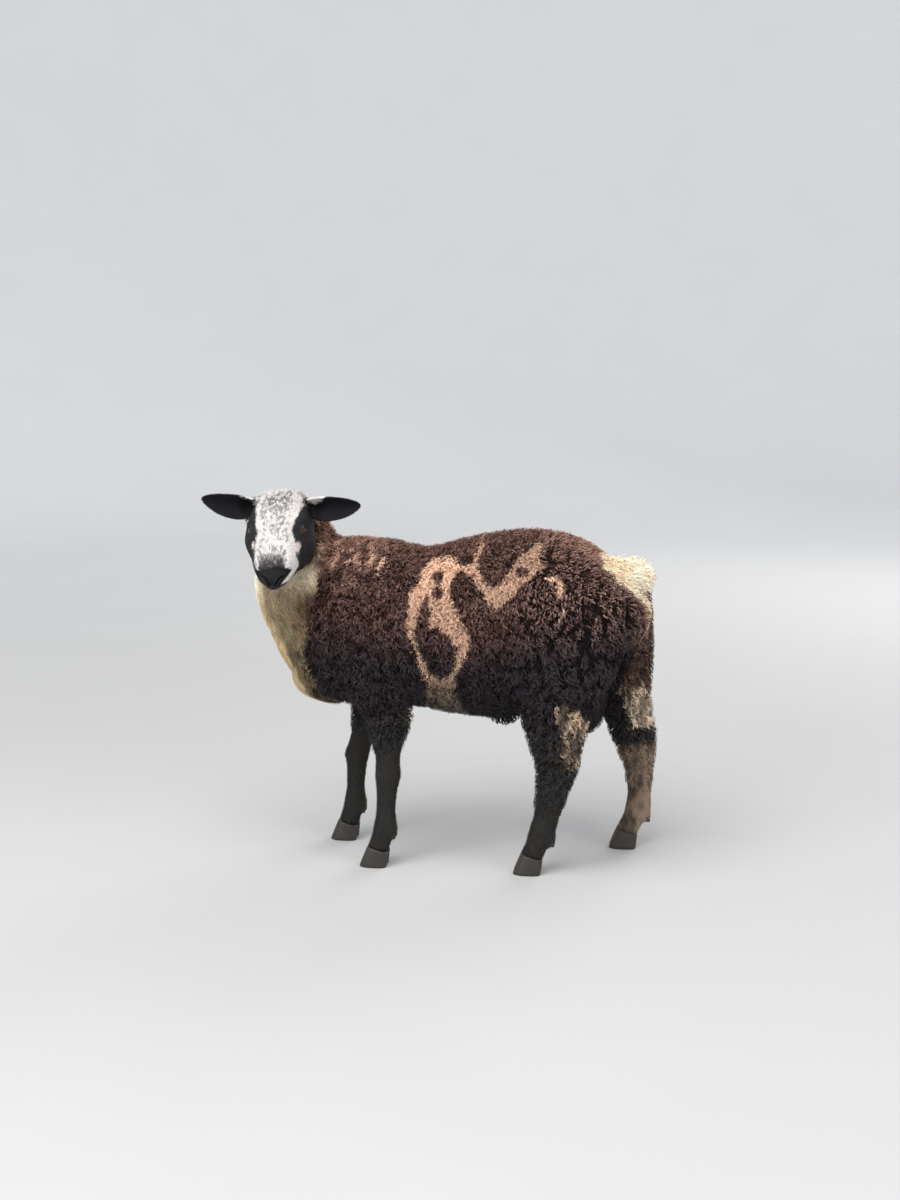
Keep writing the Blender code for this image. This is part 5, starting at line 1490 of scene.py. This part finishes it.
def wool_tones(seen, rows, draw):
    """Colours of root and tip of brown wool: painted shade in the crevices and at the roots, crests painted
    paler as painted light, and painted glints above.
    """
    count = len(seen)
    base = coat_colours(seen, draw.normal(0, 0.0013, count))
    pale = pale_share(base)
    rump = rump_share(seen, 0.42, 0.52)
    # Painted light and shade: crests of the rows paler, crevices between them darker, with random tone on top
    level = 0.98 - 0.10 * rump + (0.66 + 0.24 * rump) * (1 - 0.85 * pale) * rows
    level = level + (0.40 - 0.20 * rump) * (1 - 0.6 * pale) * (draw.random(count) - 0.5)
    base = base * np.maximum(level, 0.06)[:, None]
    # Painted highlights: glints on the tips of the crests, brown above and bluish low down
    painted_glint = (0.04 + 0.70 * draw.random(count) ** 2) * (1 - pale) * soft_step(-0.2, 0.9, rows)
    painted_glint = np.clip(painted_glint * (1 + 0.6 * rump), 0, 0.9)
    top = mixed(base * 1.15, WOOL_PAINTED_GLINT, painted_glint * soft_step(0.36, 0.54, seen[:, 2]))
    top = mixed(top, WOOL_PAINTED_BLUE_GLINT, painted_glint * soft_step(0.50, 0.36, seen[:, 2]) * 0.8)
    # Roots darker than the tips as painted shade, less so on pale wool
    return base * (0.24 + 0.52 * pale)[:, None], top


def make_fleece(ground):
    """Curled locks of wool close together over the body, shorter down the legs."""
    draw = np.random.default_rng(SEED)
    wool = wool_material("curly_wool", 0.80, 0.03)

    def share(points):
        return (wool_share(points) > 0.04) * (1 - 0.92 * soft_throat(points))

    places, normals, uv = ground.scatter(LOCKS_TRIED, share, draw)
    full = wool_share(places)
    kept = spaced(places, LOCK_ROOM * (0.86 + 0.14 * full))
    places, normals, uv, full = places[kept], normals[kept], uv[kept], full[kept]
    count = len(places)
    rows = curl_rows(places)
    rump = rump_share(places, 0.40, 0.50)
    lies = turned(lie_of(places, normals), normals, draw.normal(0, 0.55, count) * (1 - 0.4 * rump))
    tall = (0.0098 + 0.0018 * draw.random(count) + (0.0036 + 0.0022 * rump) * rows) * (0.30 + 0.70 * full)
    run = (0.0040 + 0.0024 * draw.random(count)) * (0.60 + 0.40 * full)
    thick = (0.00125 + 0.00085 * draw.random(count) ** 1.5) * (0.65 + 0.35 * full)
    bend = 1.75 + 0.75 * draw.random(count)
    curl = 0.0012 + 0.0014 * draw.random(count)
    seen = places + normals * (tall * 0.8)[:, None] + lies * (run * 1.3)[:, None]
    colours = wool_tones(seen, rows, draw)
    points, shade = curled_locks(places, normals, lies, tall, run, thick, bend, curl, colours, draw)
    order = np.argsort(places[:, 0] + 0.2 * (places[:, 2] < 0.3))
    template = lock_template(len(LOCK_RADII), LOCK_SIDES)
    tuft_pieces("fleece", order, LOCKS_A_PIECE, points, shade, template, uv, wool, "brown_fleece")
    return count


def soft_throat(points):
    """1 where the coat is the long soft cream of throat, breast and tail."""
    x, _, z = points.T
    throat = soft_step(0.004, -0.004, x - table_at(z, THROAT_EDGE)) * (z < 0.59) * above_leg(points)
    return np.maximum(throat, tail_share(points, 0.0, 0.006))


def make_soft_wool(ground):
    """Longer, straighter locks on the throat, breast and tail."""
    draw = np.random.default_rng(SEED + 1)
    wool = wool_material("soft_wool", 0.88, 0.10)

    def share(points):
        return soft_throat(points) * (wool_share(points) > 0.04)

    places, normals, uv = ground.scatter(SOFT_TRIED, share, draw)
    kept = spaced(places, np.full(len(places), SOFT_ROOM))
    places, normals, uv = places[kept], normals[kept], uv[kept]
    count = len(places)
    clump = drawn_grain(places, 0.3, 0.014, 73)
    lies = turned(lie_of(places, normals), normals, draw.normal(0, 0.24, count) + 0.40 * clump)
    tail = places[:, 0] > 0
    under = 1 - 0.5 * soft_step(0.1, -0.6, normals[:, 2]) * tail
    breast = 0.0060 * soft_step(0.46, 0.38, places[:, 2]) * ~tail
    tall = (np.where(tail, 0.0042, 0.0098) + breast + 0.0020 * draw.random(count) + 0.0010 * clump) * under
    run = (np.where(tail, 0.0085, 0.0120) + 0.0040 * draw.random(count)) * under
    thick = 0.0008 + 0.0005 * draw.random(count)
    bend = 1.50 + 0.25 * draw.random(count)
    curl = 0.0004 + 0.0006 * draw.random(count)
    base = coat_colours(places + lies * run[:, None], draw.normal(0, 0.002, count))
    base = base * (1 + 0.08 * clump + 0.12 * (draw.random(count) - 0.5))[:, None]
    # Roots darker and tips paler along each lock: painted shade and painted light
    root = base * np.where(tail, 0.88, 0.66)[:, None]
    top = base * np.where(tail, 1.25, 1.05)[:, None]
    points, shade = curled_locks(places, normals, lies, tall, run, thick, bend, curl, (root, top), draw)
    order = np.argsort(places[:, 0])
    template = lock_template(len(LOCK_RADII), LOCK_SIDES)
    tuft_pieces("soft_wool", order, LOCKS_A_PIECE, points, shade, template, uv, wool, "cream_fleece")
    return count


def make_strands(ground):
    """Thin crimped strands over the locks: they break up the wool and soften its outline."""
    draw = np.random.default_rng(SEED + 2)
    fibre = coat_material("loose_strand", 0.85, 0.05, 300.0, 0.2, 1200.0, 0.0002, 0.12)
    template = ribbon_template(STRAND_STEPS)

    def brown(points):
        rump = rump_share(points, 0.40, 0.50)
        crest = 0.25 + 0.75 * soft_step(-0.5, 0.4, curl_rows(points))
        crest = crest * (1 - 0.45 * rump) * np.where(crest < 0.6, 1 - 0.8 * rump, 1)
        return (wool_share(points) > 0.10) * (1 - soft_throat(points)) * crest

    def cream(points):
        return (wool_share(points) > 0.10) * soft_throat(points)

    for name, slot, share in (("crimped_strands", "brown_fleece", brown),
                              ("soft_strands", "cream_fleece", cream)):
        count, per_piece = STRANDS[name]
        soft = name == "soft_strands"
        places, normals, uv = ground.scatter(count, share, draw)
        full = wool_share(places)
        rows = curl_rows(places)
        tail = soft & (places[:, 0] > 0)
        rump = rump_share(places, 0.40, 0.50)
        turn = draw.normal(0, 0.38 if soft else 0.85, count) * (1 - 0.45 * rump)
        lies = turned(lie_of(places, normals), normals, turn)
        long = np.where(soft, 0.0150, 0.0085 - 0.0025 * rump) * (0.7 + 0.6 * draw.random(count))
        wave = np.where(soft, 0.0006, 0.0011) * (0.6 + 0.8 * draw.random(count))
        turns = np.where(soft, 5.0, 9.0) * (0.7 + 0.6 * draw.random(count))
        wide = np.where(soft, 0.00055, 0.00095) * (0.7 + 0.6 * draw.random(count))
        breast = 0.0060 * soft_step(0.46, 0.38, places[:, 2])
        up = np.where(soft, np.where(tail, 0.0038, 0.0085 + breast), 0.0088 + 0.0034 * rows)
        start = places + normals * (up * (0.30 + 0.70 * full))[:, None]
        edge = soft_step(0.3, 0.9, normals[:, 2])
        lift = (0.0012 + 0.0022 * draw.random(count)) * (0.5 + 0.5 * full) * (1 + 0.5 * edge)
        seen = start + lies * (long * 0.6)[:, None]
        _, top = wool_tones(seen, rows, draw)
        if soft:
            top = top * (1 + 0.26 * drawn_grain(places, 0.2, 0.007, 77))[:, None]
        # Roots darker and tips paler along each strand: painted shade and painted light
        root = top * np.where(tail, 0.90, 0.72)[:, None]
        top = top * np.where(tail, 1.30, 1.10)[:, None]
        if not soft:
            # Painted rim light: a glint on half of the upward-facing strands of the hind body
            rim_light = edge * soft_step(0.05, 0.25, places[:, 0]) * (draw.random(count) < 0.5)
            top = mixed(top, WOOL_PAINTED_GLINT, 0.45 * rim_light)
        points, shade = wavy_strands(start, normals, lies, long, wide, lift, wave, turns, (root, top), draw)
        order = np.argsort(places[:, 0])
        tuft_pieces(name, order, per_piece, points, shade, template, uv, fibre, slot)


def on_mouth(points):
    """Distance from the line of the mouth."""
    path = [face_point(at, 1) for at in MOUTH] + [head_place(MOUTH_FRONT[0], 0, MOUTH_FRONT[1])]
    path = np.array(path + [face_point(at, -1) for at in MOUTH[::-1]])
    near = np.linalg.norm(points - path.mean(0), axis=1) < 0.09
    gap = np.full(len(points), 1.0)
    gap[near] = near_path(points[near], path)
    return gap


def make_short_hair(ground):
    """Short flat hair on face, ears and lower legs."""
    draw = np.random.default_rng(SEED + 3)
    hair = coat_material("short_hair", 0.60, 0.02, 300.0, 0.15, 1500.0, 0.0002, 0.16)

    def share(points):
        s, _, _ = head_frame(points)
        nose = soft_step(0.190, 0.184, s) + (np.linalg.norm(points - HEAD_AT, axis=1) > 0.24)
        bare = (1 - wool_share(points)) * np.clip(nose, 0, 1)
        finer = np.maximum(face_share(points), ear_share(points) > 0.1)
        return bare * (0.42 + 0.58 * finer) * (on_mouth(points) > 0.0022)

    places, normals, uv = ground.scatter(SHORT_HAIRS, share, draw)
    keep = np.ones(len(places), bool)
    for sign in (1, -1):
        eye, out = eye_seat(sign)
        keep &= np.linalg.norm(places - eye - out * 0.008, axis=1) > 0.0125
    places, normals, uv = places[keep], normals[keep], uv[keep]
    count = len(places)
    lies = turned(lie_of(places, normals), normals, draw.normal(0, 0.25, count))
    face = face_share(places)
    ear = ear_share(places) > 0.10
    leg = places[:, 2] < 0.32
    s, _, _ = head_frame(places)
    poll = face * soft_step(0.030, -0.010, s)
    long = np.where(leg, 0.0085, np.where(ear, 0.0034, 0.0048)) * (0.7 + 0.6 * draw.random(count))
    long *= np.where(face > 0.5, np.interp(s, [0.0, 0.08, 0.18], [1.6, 1.0, 0.6]), 1.0)
    wide = np.where(leg, 0.0010, 0.0008) * (0.8 + 0.4 * draw.random(count))
    lift = np.where(leg, 0.0016, np.where(ear, 0.0005, 0.0009)) + 0.0035 * poll
    lift = lift * (0.5 + draw.random(count))
    base = coat_colours(places, draw.normal(0, 0.0012, count))
    base = base * (1 + 0.35 * (draw.random(count)[:, None] - 0.5))
    # Roots darker than the tips of each blade: painted shade
    points, shade = flat_blades(places, normals, lies, long, wide, lift, (base * 0.7, base * 1.1))
    faces, patch = ribbon_template(BLADE_STEPS)
    tuft_piece("short_hair", points, shade, faces, patch, uv, hair, "white_hair")


def make_eyes():
    """Two eyeballs with a swell of cornea, a dark amber iris and a level slot of pupil."""
    wet = eye_material()
    turn = np.linspace(0.0, math.pi, 49)[1:-1, None]
    angle = ring_angles(64)
    for side, sign in HEAD_SIGN.items():
        eye, out = eye_seat(sign)
        level = unit(np.cross(np.array([0, 0, 1.0]), out))
        above = np.cross(out, level)
        swell = EYE_RADIUS * (1 + 0.05 * bell(turn, 0.50))
        p = np.sin(turn) * np.cos(angle)
        q = np.sin(turn) * np.sin(angle)
        rings = eye + swell[..., None] * (p[..., None] * level + q[..., None] * above
                                          + (np.cos(turn) * np.ones(64))[..., None] * out)
        points, faces = outwards(*tube(rings))
        away = unit(points - eye)
        p, q, ahead = away @ level, away @ above, away @ out
        iris = soft_step(0.735, 0.775, ahead)
        pupil = soft_step(1.15, 0.9, ((p / 0.34) ** 4 + (q / 0.14) ** 4) ** 0.25) * (ahead > 0)
        colour = mixed(np.tile(EYE_WHITE, (len(points), 1)), EYE_IRIS, iris)
        ray = 0.5 + 0.5 * np.sin(np.arctan2(q, p) * 41)
        colour = mixed(colour, EYE_RAY, iris * ray * 0.5)
        colour = mixed(colour, EYE_PUPIL, pupil)
        name = f"eyeball_{side}"
        obj = smooth_piece(name, points, faces, wet)
        paint(obj.data, colour)
        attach(obj, "root")
        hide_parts(f"eye_{side}")


def claw_surface(foot, inner, sign):
    """Rounded sections from a flat sole up to the tilted coronet, drawn in to a toe in front.

    Each is a superellipse; the wall bulges by a sine of its height and carries fine growth rings.
    """
    x, y, z = foot
    aside = (CLAW_GAP / 2 + CLAW_SOLE[1]) * (-1 if inner else 1)
    across, up = superellipse(ring_angles(48), 2.5)
    rings = []
    for share in np.concatenate([[0.0, 0.02, 0.06], np.linspace(0.12, 1.0, 24)]):
        long = CLAW_SOLE[0] + (CLAW_TOP[0] - CLAW_SOLE[0]) * share
        wide = CLAW_SOLE[1] + (CLAW_TOP[1] - CLAW_SOLE[1]) * share
        trim = 0.0012 * (1 - soft_step(0.0, 0.08, share)) + 0.00006 * math.sin(share * 60)
        ring = np.stack([x - CLAW_REACH * (1 - share) + (long - trim) * across,
                         sign * (y + aside) + (wide - trim) * up * sign, np.zeros(48)], 1)
        toe = np.clip(-across, 0, 1) ** 2
        ring[:, 1] -= sign * aside * toe * 0.30
        top = z - (ring[:, 0] - x) * math.tan(CORONET_TILT) - 0.0003
        ring[:, 2] = top * share
        rings.append(ring)
    return outwards(*tube(np.array(rings)))


def make_lashes():
    """Short dark lashes along each upper lid, bowed outwards and down."""
    draw = np.random.default_rng(SEED + 4)
    lash = coat_material("lash", 0.6, 0.0, 300.0, 0.1, 1500.0, 0.0001, 0.15)
    for side, sign in HEAD_SIGN.items():
        eye, out = eye_seat(sign)
        long_way, tall_way = lid_ways(out)
        p = LID_HALF[0] * (draw.random(LASHES) * 1.8 - 0.9)
        q = LID_HALF[1] * np.sqrt(1 - (p / LID_HALF[0]) ** 2) * 1.04
        h = np.sqrt((EYE_RADIUS + 0.0018) ** 2 - p * p - q * q)
        root = eye + p[:, None] * long_way + q[:, None] * tall_way + h[:, None] * out
        way = unit(out * 0.70 - tall_way * 0.25 + long_way * (p / LID_HALF[0] * 0.45)[:, None])
        normals = np.cross(way, unit(np.cross(tall_way, way)))
        long = 0.0038 + 0.0016 * draw.random(LASHES)
        colours = np.tile(EAR_BLACK, (LASHES, 1))
        points, shade = flat_blades(root, normals, way, long, np.full(LASHES, 0.00024), -long * 0.25,
                                    (colours, colours))
        faces, patch = ribbon_template(BLADE_STEPS)
        uv = 0.5 + 0.4 * draw.random((LASHES, 2))
        tuft_piece(f"lashes_{side}", points, shade, faces, patch, uv, lash, "black_hair")


def dewclaw_surface(place):
    """A blunt horn nub that leans back and down from its root: round rings that narrow to a tip."""
    share = np.linspace(0, 1, 22)
    way = unit(np.array([0.46, 0.0, -0.89]))
    across = np.cross(way, np.array([0, 1.0, 0]))
    radius = 0.0060 * np.sqrt(1 - (share * 0.985) ** 2.6) * (1 + 0.02 * np.sin(share * 40))
    middle = np.array(place) + np.array([-0.0060, 0, 0.0060]) + np.outer(share * 0.0145, way)
    angle = ring_angles(32)
    turned_out = np.outer(np.cos(angle), [0, 0.95, 0]) + np.outer(np.sin(angle), across)
    return outwards(*tube(middle[:, None] + radius[:, None, None] * turned_out))


def make_hooves():
    """Eight claws and eight dewclaws of horn."""
    horn = horn_material()
    for end in ("fore", "hind"):
        for side, sign in SIDE_SIGN.items():
            rows = fore_rows(side) if end == "fore" else HIND[side]
            at = dewclaw_row(rows)
            for word, aside in (("inner", -1), ("outer", 1)):
                claw = claw_surface(rows[-1][:3], word == "inner", sign)
                place = (at[0] + at[3] * 0.90, sign * (at[1] + aside * at[4] * 0.50), DEWCLAW_HEIGHT)
                dew = dewclaw_surface(place)
                for kind, (points, faces) in (("claw", claw), ("dewclaw", dew)):
                    node = f"{kind}_{end}_{side}_{word}"
                    obj = smooth_piece(node + "_horn", points, faces, horn)
                    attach(obj, "root")
                    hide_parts(node)


def make_floor():
    """A plain pale floor that curves up all round: flat to a radius, then a quarter circle. It is painted
    darker in the middle, where the lights fall strongest, and paler up the curve, which gets less light:
    painted shade and painted light.
    """
    made, nodes, links, shader = shader_of("pale_floor")
    place = nodes.new("ShaderNodeTexCoord")
    away = nodes.new("ShaderNodeVectorMath")
    away.operation = "LENGTH"
    links.new(place.outputs["Object"], away.inputs[0])
    rise = node_of(nodes, "MapRange", {"From Min": 1.0, "From Max": 6.0})
    rise.interpolation_type = "SMOOTHSTEP"
    links.new(away.outputs["Value"], rise.inputs["Value"])
    tone = nodes.new("ShaderNodeMix")
    tone.data_type = "RGBA"
    tone.inputs["A"].default_value = FLOOR_NEAR
    tone.inputs["B"].default_value = FLOOR_FAR
    links.new(rise.outputs["Result"], tone.inputs["Factor"])
    noise = pattern_over(nodes, links, "TexNoise", {"Scale": 3.0})
    vary_colour(nodes, links, shader, tone.outputs["Result"], noise, (0.98, 1.02))
    shader.inputs["Roughness"].default_value = 0.9
    turn = np.linspace(0, math.pi / 2, 24)
    out = np.concatenate([[0.0001, 1.5, 3.0], FLOOR_FLAT + FLOOR_CURVE * np.sin(turn)])
    up = np.concatenate([[0.0, 0.0, 0.0], FLOOR_CURVE * (1 - np.cos(turn))]) - FLOOR_SUNK
    angle = ring_angles(FLOOR_SIDES)
    rings = np.stack([out[:, None] * np.cos(angle), out[:, None] * np.sin(angle), up[:, None] + 0 * angle], 2)
    k, j = np.meshgrid(np.arange(len(out) - 1), np.arange(FLOOR_SIDES), indexing="ij")
    a, b = (k * FLOOR_SIDES + j).ravel(), (k * FLOOR_SIDES + (j + 1) % FLOOR_SIDES).ravel()
    faces = np.vstack([np.stack([a, a + FLOOR_SIDES, b + FLOOR_SIDES], 1),
                       np.stack([a, b + FLOOR_SIDES, b], 1)])
    mesh = mesh_of("floor", rings.reshape(-1, 3), faces)
    mesh.shade_smooth()
    mesh.materials.append(made)
    object_of("floor", mesh)


def area_light(name, place, aim, size, power, colour):
    """A square soft light that looks at a point."""
    data = bpy.data.lights.new(name, "AREA")
    data.shape = "SQUARE"
    data.size = size
    data.energy = power
    data.color = colour
    obj = object_of(name, data)
    obj.location = place
    obj.rotation_euler = (Vector(aim) - Vector(place)).to_track_quat("-Z", "Y").to_euler()


def make_light_and_camera():
    """Soft light from above, in front, the right and behind, and the photo's view."""
    world = bpy.data.worlds.new("studio")
    bpy.context.scene.world = world
    world.use_nodes = True
    world.node_tree.nodes["Background"].inputs["Color"].default_value = SKY_COLOUR
    world.node_tree.nodes["Background"].inputs["Strength"].default_value = SKY_STRENGTH
    for light in LIGHTS:
        area_light(*light)
    turn, rise = math.radians(VIEW_TURN), math.radians(VIEW_RISE)
    back = Vector((math.sin(turn) * math.cos(rise), -math.cos(turn) * math.cos(rise), math.sin(rise)))
    data = bpy.data.cameras.new("camera")
    data.sensor_width = 36.0
    data.lens = VIEW_LENS
    camera = object_of("camera", data)
    camera.location = Vector((0, 0, VIEW_AIM)) + Vector(PLACE) + back * VIEW_AWAY
    camera.rotation_euler = (-back).to_track_quat("-Z", "Y").to_euler()
    bpy.context.scene.camera = camera
    bpy.context.scene.view_settings.view_transform = "Standard"


for obj in list(bpy.data.objects):
    bpy.data.objects.remove(obj)
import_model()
low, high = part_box("eye_left")
PLACE = np.array((low + high) / 2) - eye_seat(1)[0]
ground = make_skin()
print("skin triangles", len(ground.faces))
print("fleece locks", make_fleece(ground))
print("soft locks", make_soft_wool(ground))
make_strands(ground)
make_short_hair(ground)
make_eyes()
make_lashes()
make_hooves()
make_floor()
make_light_and_camera()
